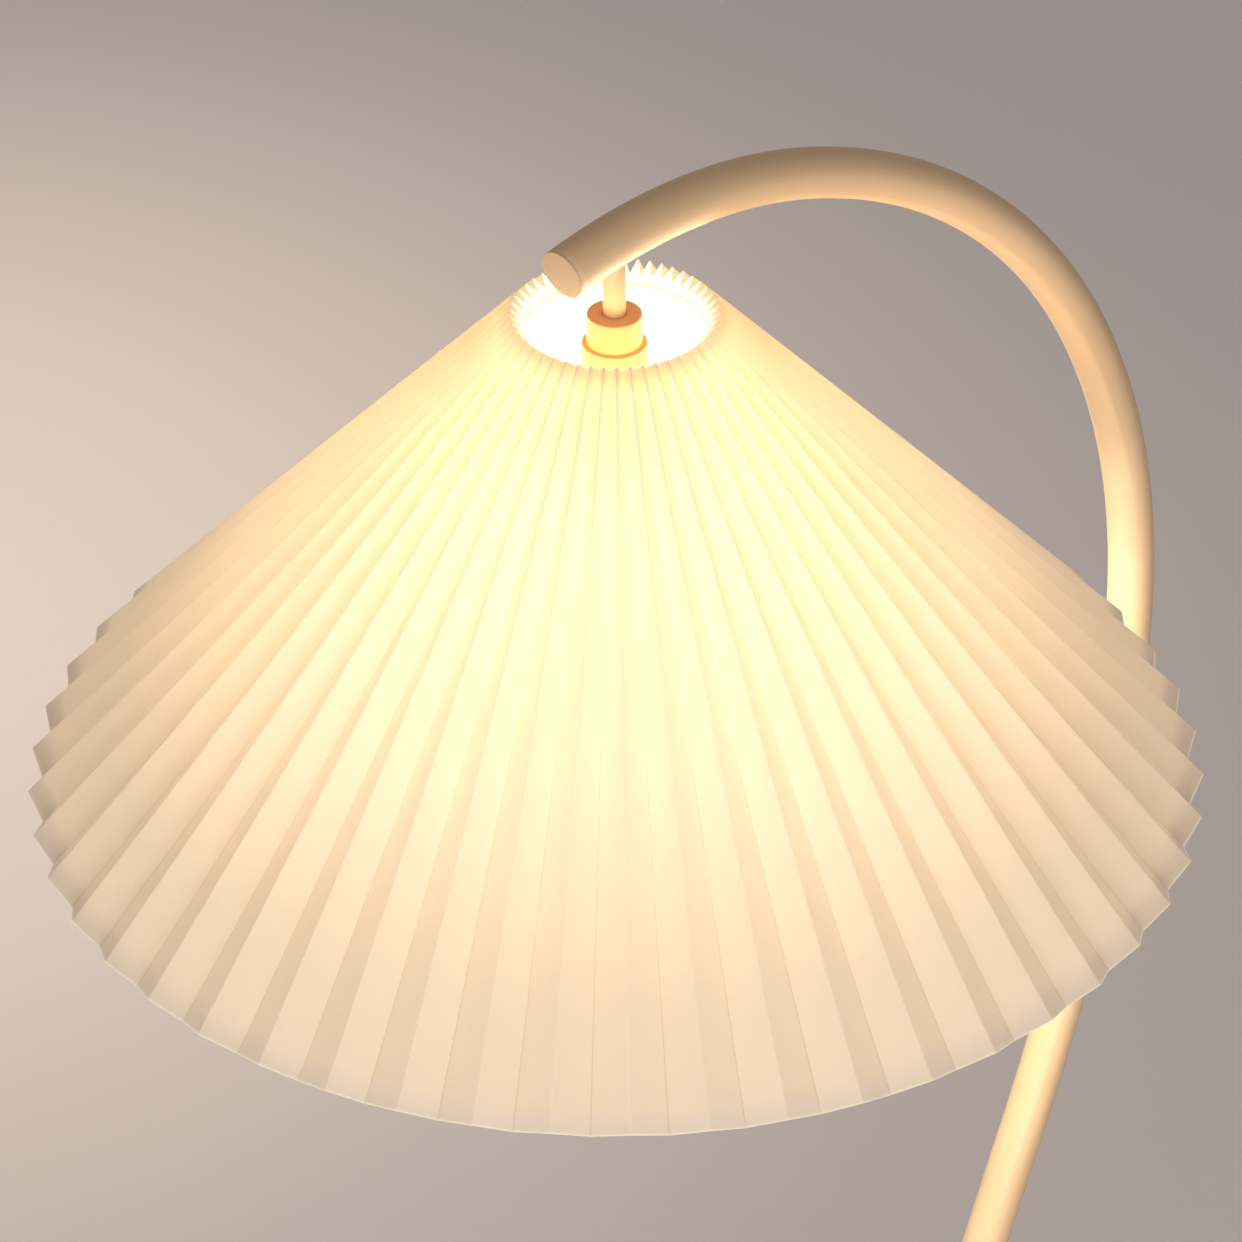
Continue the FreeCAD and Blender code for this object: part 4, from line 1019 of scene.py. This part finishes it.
@dataclass
class Holder:
    """The rod under the tube and the lampholder on it, with the two rings for the shade."""

    rod_bore: float = 3.2 * MM
    rod_hole: float = 4.9 * MM
    wall: float = 1.4 * MM
    roof: float = 2.0 * MM
    cap_edge: float = 0.5 * MM
    body_height: float = 46.0 * MM
    spigot: float = 10.1 * MM
    ridge: float = 0.25 * MM
    ridge_pitch: float = 1.6 * MM
    ring_bore: float = 13.85 * MM
    ring_edge: float = 0.8 * MM
    ring_grips: int = 24
    ring_grip_depth: float = 0.5 * MM

    def build(self) -> None:
        """Builds and dresses every piece of the hanger and lampholder."""
        self.rod()
        self.cap()
        self.body()
        self.ring("stop_ring")
        self.ring("shade_ring")

    def rod(self) -> None:
        """Hollow rod with its ends eased."""
        low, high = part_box("hanger_rod")
        radius, height = (high.x - low.x) / 2, high.z - low.z
        profile = [(self.rod_bore, 0.0), (radius, 0.0), (radius, height), (self.rod_bore, height)]
        spot = Vector((middle_of("hanger_rod").x, 0.0, low.z))
        shape = turned(profile, spot, {1: 0.4 * MM, 2: 0.4 * MM}, 64)
        settle(shape, "rod", Body.STAND, Slot.CREAM_PAINT, TUBE_PAINT, ["hanger_rod"])

    def cap(self) -> None:
        """Upper step of the lampholder, drilled for the rod."""
        low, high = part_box("holder_cap")
        radius, height = (high.x - low.x) / 2, high.z - low.z
        inner, hole = radius - self.wall, self.rod_hole
        profile = [
            (inner, 0.0), (radius, 0.0), (radius, height), (hole, height),
            (hole, height - self.roof), (inner, height - self.roof),
        ]
        rounding = {2: self.cap_edge, 3: 0.25 * MM, 1: 0.2 * MM}
        spot = Vector((middle_of("holder_cap").x, 0.0, low.z))
        shape = turned(profile, spot, rounding, 96)
        settle(shape, "lampholder_cap", Body.STAND, Slot.CREAM_PAINT, LAMPLIT_HOLDER_PAINT, ["holder_cap"])

    def body(self) -> None:
        """Lampholder's body: a shoulder under the cap, a thread's fine ridges and an open mouth."""
        low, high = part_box("holder_body")
        radius, height, top = (high.x - low.x) / 2, self.body_height, high.z - low.z
        inner, hole, spigot = radius - self.wall, self.rod_bore, self.spigot
        spigot_bore = spigot - self.wall
        profile = [(inner, 0.0), (radius, 0.0)]
        valley, pitch = radius - self.ridge, self.ridge_pitch
        plain_foot, plain_top = 1.0 * MM, 5.0 * MM
        for turn in range(int((height - plain_foot - plain_top) / pitch)):
            start = plain_foot + turn * pitch
            profile += [
                (radius, start), (valley, start + pitch * 0.3), (valley, start + pitch * 0.5),
                (radius, start + pitch * 0.8),
            ]
        shoulder = len(profile)
        profile += [
            (radius, height), (spigot, height), (spigot, top), (spigot_bore, top),
            (spigot_bore, height), (hole, height), (hole, height - self.roof),
            (inner, height - self.roof),
        ]
        spot = Vector((middle_of("holder_body").x, 0.0, low.z))
        shape = turned(profile, spot, {shoulder: self.cap_edge, 1: 0.3 * MM}, 96)
        settle(
            shape, "lampholder_body", Body.STAND, Slot.CREAM_PAINT, LAMPLIT_HOLDER_PAINT, ["holder_body"]
        )

    def ring(self, node: str) -> None:
        """Threaded ring with grips pressed into its rim.

        Args:
            node: the CAD node that it stands for.
        """
        low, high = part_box(node)
        radius, height = (high.x - low.x) / 2, high.z - low.z
        bore = self.ring_bore
        profile = [(bore, 0.0), (radius, 0.0), (radius, height), (bore, height)]
        rounding = {0: 0.3 * MM, 1: self.ring_edge, 2: self.ring_edge, 3: 0.3 * MM}
        shape = turned(profile, ORIGIN, rounding, self.ring_grips * 8)
        for vert in shape.verts:
            reach = vert.co.xy.length
            if reach > radius - self.ring_edge * 0.9:
                wave = math.cos(math.atan2(vert.co.y, vert.co.x) * self.ring_grips)
                pressed = max(0.0, wave - 0.2) * self.ring_grip_depth
                vert.co.xy *= (reach - pressed) / reach
        spot = Vector((middle_of(node).x, 0.0, low.z))
        bmesh.ops.translate(shape, verts=shape.verts[:], vec=spot)
        settle(shape, node + "_gripped", Body.STAND, Slot.CREAM_PAINT, LAMPLIT_HOLDER_PAINT, [node])


# --- shade ----------------------------------------------------------------------------------------


@dataclass
class Shade:
    """The pleated sheet and the wire frame that holds it."""

    pleats: int = 50
    first_fold: float = 3.1
    top_radius: float = 43.1 * MM
    height: float = 229.2 * MM
    depth: float = 7.8 * MM
    sheet_thickness: float = 0.4 * MM
    rows: int = 24
    fold_radius: float = 0.28 * MM
    wander: float = 0.35 * MM
    wire: float = 1.6 * MM
    ring_steps: int = 200
    hub_bore: float = 13.9 * MM
    strut_folds: tuple[int, ...] = (0, 17, 33)
    first_strut: float = -137.3
    flat_size: tuple[float, float] = (1.805, 0.312)
    flat_area: float = 0.404
    axis: Vector = field(default_factory=Vector)

    def build(self) -> None:
        """Builds the sheet and the frame about the shade's axis."""
        self.axis = middle_of("pleated_shade")
        self.sheet()
        self.hub()
        self.ring("top_ring", "top_wire")
        self.ring("bottom_ring", "bottom_wire")
        self.struts()
        self.arms()

    def sheet(self) -> None:
        """One pleat is drawn, repeated round the axis, creased, and given its thickness."""
        low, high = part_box("pleated_shade")
        half = self.sheet_thickness / 2
        bottom_radius = (high.x - low.x) / 2
        drop = bottom_radius - self.top_radius
        length = math.hypot(drop, self.height)
        inward = Vector((-self.height, 0.0, -drop)) / length
        outer = [
            Vector((bottom_radius, 0.0, high.z - self.height)) + inward * half,
            Vector((self.top_radius, 0.0, high.z)) + inward * half,
        ]
        back = Matrix.Rotation(-math.pi / self.pleats, 3, "Z")
        inner = [back @ (corner + inward * self.depth) for corner in outer]
        shape = bmesh.new()
        folds = shape.loops.layers.uv.new("Folds")
        corners = [shape.verts.new(place) for place in (inner[0], outer[0], outer[1], inner[1])]
        panel = shape.faces.new(corners)
        for loop, uv in zip(panel.loops, ((0.0, 0.0), (1.0, 0.0), (1.0, length), (0.0, length))):
            loop[folds].uv = uv
        long_edges = [edge for edge in shape.edges if edge.calc_length() > length / 2]
        bmesh.ops.subdivide_edges(shape, edges=long_edges, cuts=self.rows - 1, use_grid_fill=True)
        bmesh.ops.mirror(
            shape, geom=shape.verts[:] + shape.edges[:] + shape.faces[:],
            matrix=Matrix.Identity(4), merge_dist=MERGE, axis="Y",
        )
        turn = Matrix.Rotation(math.radians(self.first_fold), 3, "Z")
        bmesh.ops.rotate(shape, verts=shape.verts[:], cent=ORIGIN, matrix=turn)
        bmesh.ops.spin(
            shape, geom=shape.verts[:] + shape.edges[:] + shape.faces[:], cent=ORIGIN, axis=UP,
            dvec=ORIGIN, angle=math.tau * (self.pleats - 1) / self.pleats,
            steps=self.pleats - 1, use_merge=False, use_duplicate=True,
        )
        bmesh.ops.remove_doubles(shape, verts=shape.verts[:], dist=MERGE * 10)
        bmesh.ops.recalc_face_normals(shape, faces=shape.faces[:])
        self.let_wander(shape, high.z, length)
        creases = [
            edge for edge in shape.edges
            if len(edge.link_faces) == 2 and edge.calc_face_angle(0.0) > 0.5
        ]
        bmesh.ops.bevel(
            shape, geom=creases, offset=self.fold_radius, offset_type="OFFSET", segments=2,
            profile=0.5, affect="EDGES", clamp_overlap=True, material=-1,
        )
        bmesh.ops.translate(shape, verts=shape.verts[:], vec=(self.axis.x, 0.0, 0.0))
        piece = settle(
            shape, "pleats", Body.SHADE, Slot.PLEATS, PAPER, ["pleated_shade"], sharp=60.0
        )
        thick = piece.modifiers.new("thickness", "SOLIDIFY")
        thick.thickness = self.sheet_thickness
        thick.offset = 0.0
        thick.material_offset = 1
        thick.material_offset_rim = 2
        piece.data.materials.append(PAPER_INSIDE.material())
        piece.data.materials.append(PAPER_EDGE.material())

    def let_wander(self, shape: bmesh.types.BMesh, top: float, length: float) -> None:
        """Lets each fold stray by a hair from its even place, as hand-set folds do.

        Args:
            shape: the folded sheet about the Z axis.
            top: height of its upper edge.
            length: its length from edge to edge.
        """
        chance = random.Random(11)
        stray = [
            (chance.uniform(-1.0, 1.0), chance.uniform(-1.0, 1.0)) for _ in range(2 * self.pleats)
        ]
        for vert in shape.verts:
            angle = math.degrees(math.atan2(vert.co.y, vert.co.x)) - self.first_fold
            fold = round(angle / FULL_CIRCLE * 2 * self.pleats) % (2 * self.pleats)
            down = (top - vert.co.z) / length
            slow = noise.noise(Vector((fold * 0.71, down * 3.0, 4.2)))
            sideways, inwards = stray[fold]
            outward = Vector((vert.co.x, vert.co.y, 0.0)).normalized()
            along = UP.cross(outward)
            vert.co += along * (sideways * down + slow) * self.wander
            vert.co -= outward * (0.5 + 0.5 * inwards + 0.4 * slow) * self.wander * down

    def hub(self) -> None:
        """Flat ring in the middle of the frame, between the lampholder's rings."""
        low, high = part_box("spider_hub")
        radius, height, bore = (high.x - low.x) / 2, high.z - low.z, self.hub_bore
        profile = [(bore, 0.0), (radius, 0.0), (radius, height), (bore, height)]
        rounding = dict.fromkeys(range(4), 0.35 * MM)
        shape = turned(profile, Vector((self.axis.x, 0.0, low.z)), rounding, 96)
        settle(shape, "hub", Body.SHADE, Slot.WIRE, WIRE_PAINT, ["spider_hub"])

    def ring(self, node: str, name: str) -> None:
        """Round wire bent into a ring.

        Args:
            node: the CAD node that it stands for.
            name: the piece's name.
        """
        low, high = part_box(node)
        shape = bmesh.new()
        centre = Vector(((high.x - low.x) / 2 - self.wire, 0.0, (low.z + high.z) / 2))
        upright = Matrix.Rotation(math.radians(90.0), 4, "X")
        bmesh.ops.create_circle(
            shape, cap_ends=False, segments=16, radius=self.wire,
            matrix=Matrix.Translation(centre) @ upright,
        )
        bmesh.ops.spin(
            shape, geom=shape.verts[:] + shape.edges[:], cent=ORIGIN, axis=UP, dvec=ORIGIN,
            angle=math.tau, steps=self.ring_steps, use_merge=True, use_duplicate=False,
        )
        bmesh.ops.recalc_face_normals(shape, faces=shape.faces[:])
        bmesh.ops.translate(shape, verts=shape.verts[:], vec=(self.axis.x, 0.0, 0.0))
        settle(shape, name, Body.SHADE, Slot.WIRE, WIRE_PAINT, [node])

    def frame_line(self, azimuth: float) -> tuple[Vector, Vector]:
        """Where a strut goes: between the middles of both rings' wires.

        Args:
            azimuth: the strut's azimuth, in radians.

        Returns:
            Its foot and its head.
        """
        ends = []
        for node in ("bottom_ring", "top_ring"):
            low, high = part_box(node)
            radius = (high.x - low.x) / 2 - self.wire
            across = Vector((math.cos(azimuth), math.sin(azimuth), 0.0)) * radius
            ends.append(Vector((self.axis.x, 0.0, (low.z + high.z) / 2)) + across)
        return ends[0], ends[1]

    def azimuths(self) -> list[float]:
        """The struts' azimuths, in radians."""
        return [
            math.radians(self.first_strut + folds * FULL_CIRCLE / self.pleats)
            for folds in self.strut_folds
        ]

    def struts(self) -> None:
        """Wires from ring to ring, welded at both ends."""
        shape = bmesh.new()
        for azimuth in self.azimuths():
            foot, head = self.frame_line(azimuth)
            wire_between(shape, foot, head, self.wire)
            for end in (foot, head):
                weld_bead(shape, end, self.wire * 1.12, head - foot)
        settle(shape, "struts", Body.SHADE, Slot.WIRE, WIRE_PAINT, ["frame_struts"])

    def arms(self) -> None:
        """Level wires from the hub to the struts, welded at both ends."""
        hub_low, hub_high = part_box("spider_hub")
        height = (hub_low.z + hub_high.z) / 2
        hub_radius = (hub_high.x - hub_low.x) / 2
        shape = bmesh.new()
        for azimuth in self.azimuths():
            foot, head = self.frame_line(azimuth)
            share = (height - foot.z) / (head.z - foot.z)
            end = foot.lerp(head, share)
            across = Vector((math.cos(azimuth), math.sin(azimuth), 0.0))
            start = Vector((self.axis.x, 0.0, height)) + across * (hub_radius - 0.5 * MM)
            wire_between(shape, start, end, self.wire)
            weld_bead(shape, end, self.wire * 1.12, across)
            weld_bead(shape, start + across * self.wire, self.wire * 1.05, across)
        settle(shape, "arms", Body.SHADE, Slot.WIRE, WIRE_PAINT, ["spider_arms"])


# --- bulb -----------------------------------------------------------------------------------------


@dataclass
class Bulb:
    """The screw bulb: threaded cap, contacts, skirt, opal globe and the light rod inside it."""

    pitch: float = 2.82 * MM
    thread_depth: float = 0.55 * MM
    thread_start: float = 1.5 * MM
    plain_cap: float = 5.0 * MM
    cone_top: float = 2.5 * MM
    skirt_height: float = 9.0 * MM
    skirt_neck: float = 6.3 * MM
    globe_wall: float = 1.0 * MM
    globe_steps: int = 28
    neck: float = 8.5 * MM
    rod: float = 4.5 * MM
    rod_length: float = 26.0 * MM

    def build(self) -> None:
        """Builds and dresses every piece of the bulb."""
        self.cap()
        self.contacts()
        self.skirt()
        self.globe()
        self.light_rod()

    def cap(self) -> None:
        """Thin cap with its rolled thread."""
        low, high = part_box("bulb_cap")
        radius, height = (high.x - low.x) / 2, high.z - low.z
        profile = [(radius * 0.82, 0.0), (radius - 0.2 * MM, 0.0)]
        turns, root = int((height - self.plain_cap) / self.pitch), radius - self.thread_depth
        for turn in range(turns):
            start = self.thread_start + turn * self.pitch
            profile += [(root, start), (radius, start + self.pitch / 2)]
        top = self.thread_start + turns * self.pitch
        profile += [
            (root, top), (root, height - 1.0 * MM),
            (radius * 0.8, height), (radius * 0.5, height), (radius * 0.5, height - 0.5 * MM),
            (radius * 0.78, height - 0.6 * MM),
        ]
        rounding = {number: 0.6 * MM for number in range(2, 2 + 2 * turns + 1)}
        spot = Vector((middle_of("bulb_cap").x, 0.0, low.z))
        shape = turned(profile, spot, rounding, 72)
        settle(
            shape, "bulb_screw_cap", Body.BULB, Slot.BULB_CAP, BULB_METAL, ["bulb_cap"], sharp=70.0
        )

    def contacts(self) -> None:
        """Insulator cone and the soldered end contact."""
        low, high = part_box("bulb_insulator")
        spot = Vector((middle_of("bulb_insulator").x, 0.0, low.z))
        radius, height = (high.x - low.x) / 2, high.z - low.z
        profile = [(0.0, 0.0), (radius, 0.0), (self.cone_top, height), (0.0, height)]
        shape = turned(profile, spot, {1: 0.3 * MM}, 48)
        settle(shape, "bulb_cone", Body.BULB, Slot.INSULATOR, CERAMIC, ["bulb_insulator"])
        low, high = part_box("bulb_contact")
        radius, height = (high.x - low.x) / 2, high.z - low.z
        profile = [(0.0, 0.0), (radius, 0.0), (radius, height), (0.0, height)]
        shape = turned(profile, Vector((spot.x, 0.0, low.z)), {2: 0.6 * MM}, 48)
        settle(shape, "bulb_tip", Body.BULB, Slot.BRASS, BRASS, ["bulb_contact"])

    def skirt(self) -> None:
        """Plastic skirt between the cap and the glass."""
        low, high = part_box("bulb_collar")
        radius, height, neck = (high.x - low.x) / 2, self.skirt_height, self.skirt_neck
        profile = [
            (0.0, 0.0), (radius, 0.0), (radius, height / 2), (neck, height * 0.75),
            (neck, high.z - low.z), (0.0, high.z - low.z),
        ]
        rounding = {1: 0.8 * MM, 2: 2.0 * MM}
        shape = turned(profile, Vector((middle_of("bulb_collar").x, 0.0, low.z)), rounding, 72)
        settle(shape, "bulb_skirt", Body.BULB, Slot.BULB_PLASTIC, BULB_PLASTIC, ["bulb_collar"])

    def globe(self) -> None:
        """Opal glass: a ball that flows into its neck, hollow throughout."""
        low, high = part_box("bulb_globe")
        radius = (high.x - low.x) / 2
        middle = Vector((middle_of("bulb_globe").x, 0.0, low.z + radius))
        top = high.z - middle.z
        profile: list[tuple[float, float]] = []
        for wall, order in ((0.0, 1), (self.globe_wall, -1)):
            ball = radius - wall
            stop = math.acos((self.neck - wall + 2.0 * MM) / ball)
            arc = [(0.0, -ball)]
            for step in range(1, self.globe_steps + 1):
                angle = -math.pi / 2 + (stop + math.pi / 2) * step / self.globe_steps
                arc.append((ball * math.cos(angle), ball * math.sin(angle)))
            arc += [(self.neck - wall, top - 1.5 * MM), (self.neck - wall, top)]
            profile += arc[::order]
        shape = turned(profile, middle, None, 72)
        settle(shape, "globe", Body.BULB, Slot.BULB_GLASS, OPAL, ["bulb_globe"], sharp=60.0)

    def light_rod(self) -> None:
        """Rod of light on its stem."""
        low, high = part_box("bulb_emitter")
        rod, stem, length, top = self.rod, self.rod / 2, self.rod_length, high.z - low.z
        profile = [
            (0.0, 0.0), (rod, 0.0), (rod, length), (stem, length + 1.0 * MM), (stem, top),
            (0.0, top),
        ]
        spot = Vector((middle_of("bulb_emitter").x, 0.0, low.z))
        shape = turned(profile, spot, {1: 1.6 * MM, 2: 1.0 * MM}, 48)
        settle(shape, "light_rod", Body.BULB, Slot.BULB_LIGHT, LIGHT_ROD, ["bulb_emitter"])


# --- what is round the lamp -----------------------------------------------------------------------


@dataclass
class Studio:
    """The floor, the lights and the camera."""

    floor_size: float = 30.0
    floor_colour: Colour = (0.92, 0.92, 0.985)
    floor_patches: float = 0.985  # the patches' colour, as a share of the floor's
    sky_colour: Colour = (1.0, 0.88, 0.77)
    sky_strength: float = 0.31
    bulb_power: float = 31.0
    bulb_colour: Colour = (1.0, 0.88, 0.68)
    bulb_radius: float = 23.5 * MM
    key_power: float = 66.0
    key_colour: Colour = (1.0, 0.94, 0.87)
    key_size: float = 2.2
    key_spot: tuple[float, float, float] = (-2.4, -2.4, 1.15)
    pool_power: float = 60.0
    pool_colour: Colour = (1.0, 0.76, 0.52)
    pool_middle: tuple[float, float, float] = (0.85, 1.86, 0.0)
    pool_height: float = 1.7
    pool_radius: float = 0.3
    pool_angle: float = 78.0
    glow_power: float = 7.5
    glow_colour: Colour = (1.0, 0.93, 0.8)
    glow_radius: float = 200.0 * MM
    glow_height: float = 0.12  # as a share of the shade's height
    camera_back: tuple[float, float, float] = (-1.44787, -1.4761, 2.73478)
    camera_azimuth: float = 45.036
    camera_down: float = 0.60338
    camera_roll: float = -0.00248
    focal_share: float = 5920.9 / 1242.0  # focal length over the frame's width
    sensor: float = 36.0

    def build(self) -> None:
        """Sets up the floor, the lights and the camera."""
        bpy.context.scene.view_settings.view_transform = "Standard"
        self.lights(self.floor())
        self.camera()

    def floor(self) -> bpy.types.Object:
        """A plain pale floor.

        Returns:
            The floor's object.
        """
        shape = bmesh.new()
        bmesh.ops.create_grid(shape, x_segments=4, y_segments=4, size=self.floor_size / 2)
        mesh = bpy.data.meshes.new("floor")
        shape.to_mesh(mesh)
        shape.free()
        floor = bpy.data.objects.new("floor", mesh)
        bpy.context.scene.collection.objects.link(floor)
        paint = Coat(
            "floor_paint", self.floor_colour,
            tuple(part * self.floor_patches for part in self.floor_colour),
            roughness=0.9, patch_scale=0.8, grain_scale=120.0, grain_depth=0.0,
        )
        mesh.materials.append(paint.material())
        return floor

    def lights(self, floor: bpy.types.Object) -> None:
        """Even light from all round, a soft key light, the bulb's own light, and its warm pool.

        Args:
            floor: what the pool falls on.
        """
        world = bpy.data.worlds.new("soft_room")
        bpy.context.scene.world = world
        world.use_nodes = True
        sky = world.node_tree.nodes["Background"]
        sky.inputs["Color"].default_value = rgba(self.sky_colour)
        sky.inputs["Strength"].default_value = self.sky_strength
        bulb = bpy.data.lights.new("bulb_light", "POINT")
        bulb.energy = self.bulb_power
        bulb.color = self.bulb_colour
        bulb.shadow_soft_size = self.bulb_radius
        low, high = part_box("bulb_globe")
        radius = (high.x - low.x) / 2
        spot = Vector((middle_of("bulb_globe").x, 0.0, low.z + radius))
        self.put(bulb, spot)
        key = bpy.data.lights.new("key_light", "AREA")
        key.energy = self.key_power
        key.color = self.key_colour
        key.shape = "DISK"
        key.size = self.key_size
        spot = Vector(self.key_spot)
        self.put(key, spot, UP * spot.z)
        pool = bpy.data.lights.new("warm_pool", "SPOT")
        pool.energy = self.pool_power
        pool.color = self.pool_colour
        pool.shadow_soft_size = self.pool_radius
        pool.spot_size = math.radians(self.pool_angle)
        pool.spot_blend = 1.0
        spot = Vector(self.pool_middle)
        lamp = self.put(pool, spot + UP * self.pool_height, spot)
        lit = bpy.data.collections.new("lit_by_the_pool")
        lit.objects.link(floor)
        lamp.light_linking.receiver_collection = lit

    def glow(self, pieces: Sequence[bpy.types.Object]) -> None:
        """The shade's warm glow on what stands beside it.

        Args:
            pieces: what it falls on.
        """
        light = bpy.data.lights.new("shade_glow", "POINT")
        light.energy = self.glow_power
        light.color = self.glow_colour
        light.shadow_soft_size = self.glow_radius
        light.use_shadow = False
        low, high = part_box("pleated_shade")
        height = (1.0 - self.glow_height) * low.z + self.glow_height * high.z
        lamp = self.put(light, Vector(((low.x + high.x) / 2, 0.0, height)))
        lit = bpy.data.collections.new("lit_by_the_shade")
        for piece in pieces:
            lit.objects.link(piece)
        lamp.light_linking.receiver_collection = lit

    @staticmethod
    def put(light: bpy.types.Light, spot: Vector, aim: Optional[Vector] = None) -> bpy.types.Object:
        """Places a light, turned towards a point.

        Args:
            light: the light.
            spot: its place.
            aim: what it points at.

        Returns:
            The light's object.
        """
        lamp = bpy.data.objects.new(light.name, light)
        lamp.location = spot
        if aim is not None:
            lamp.rotation_mode = "QUATERNION"
            lamp.rotation_quaternion = (aim - spot).to_track_quat("-Z", "Y")
        lamp.visible_camera = False
        bpy.context.scene.collection.objects.link(lamp)
        return lamp

    def camera(self) -> None:
        """A long lens that looks down on the shade from in front of it."""
        lens = bpy.data.cameras.new("camera")
        lens.sensor_width = self.sensor
        lens.lens = self.focal_share * self.sensor
        lens.clip_end = 100.0
        camera = bpy.data.objects.new("camera", lens)
        azimuth, down = math.radians(self.camera_azimuth), self.camera_down
        ahead = Vector((
            math.cos(azimuth) * math.cos(down), math.sin(azimuth) * math.cos(down), -math.sin(down)
        ))
        camera.location = self.camera_back
        camera.rotation_mode = "QUATERNION"
        roll = Quaternion((0.0, 0.0, 1.0), self.camera_roll)
        camera.rotation_quaternion = ahead.to_track_quat("-Z", "Y") @ roll
        bpy.context.scene.collection.objects.link(camera)
        bpy.context.scene.camera = camera


def dress_shown_nodes(nodes: dict[str, bpy.types.Object]) -> None:
    """Gives each CAD node that is shown as it is its finish.

    Args:
        nodes: the CAD nodes by name.
    """
    for name, finish in SHOWN_NODES.items():
        for slot in nodes[name].material_slots:
            slot.material = finish.material()
        LOG.info("%s: CAD shape in %s", name, finish.name)


def main() -> None:
    """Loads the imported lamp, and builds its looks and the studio."""
    logging.basicConfig(level=logging.INFO, format="%(name)s %(message)s")
    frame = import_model()
    studio = Studio()
    studio.build()
    dress_shown_nodes(frame["nodes"])
    studio.glow(Tube().build())
    for part in (Base(), Holder(), Shade(), Bulb()):
        part.build()
        LOG.info("%s done", type(part).__name__)
    bpy.context.view_layer.update()


if __name__ == "__main__":
    main()
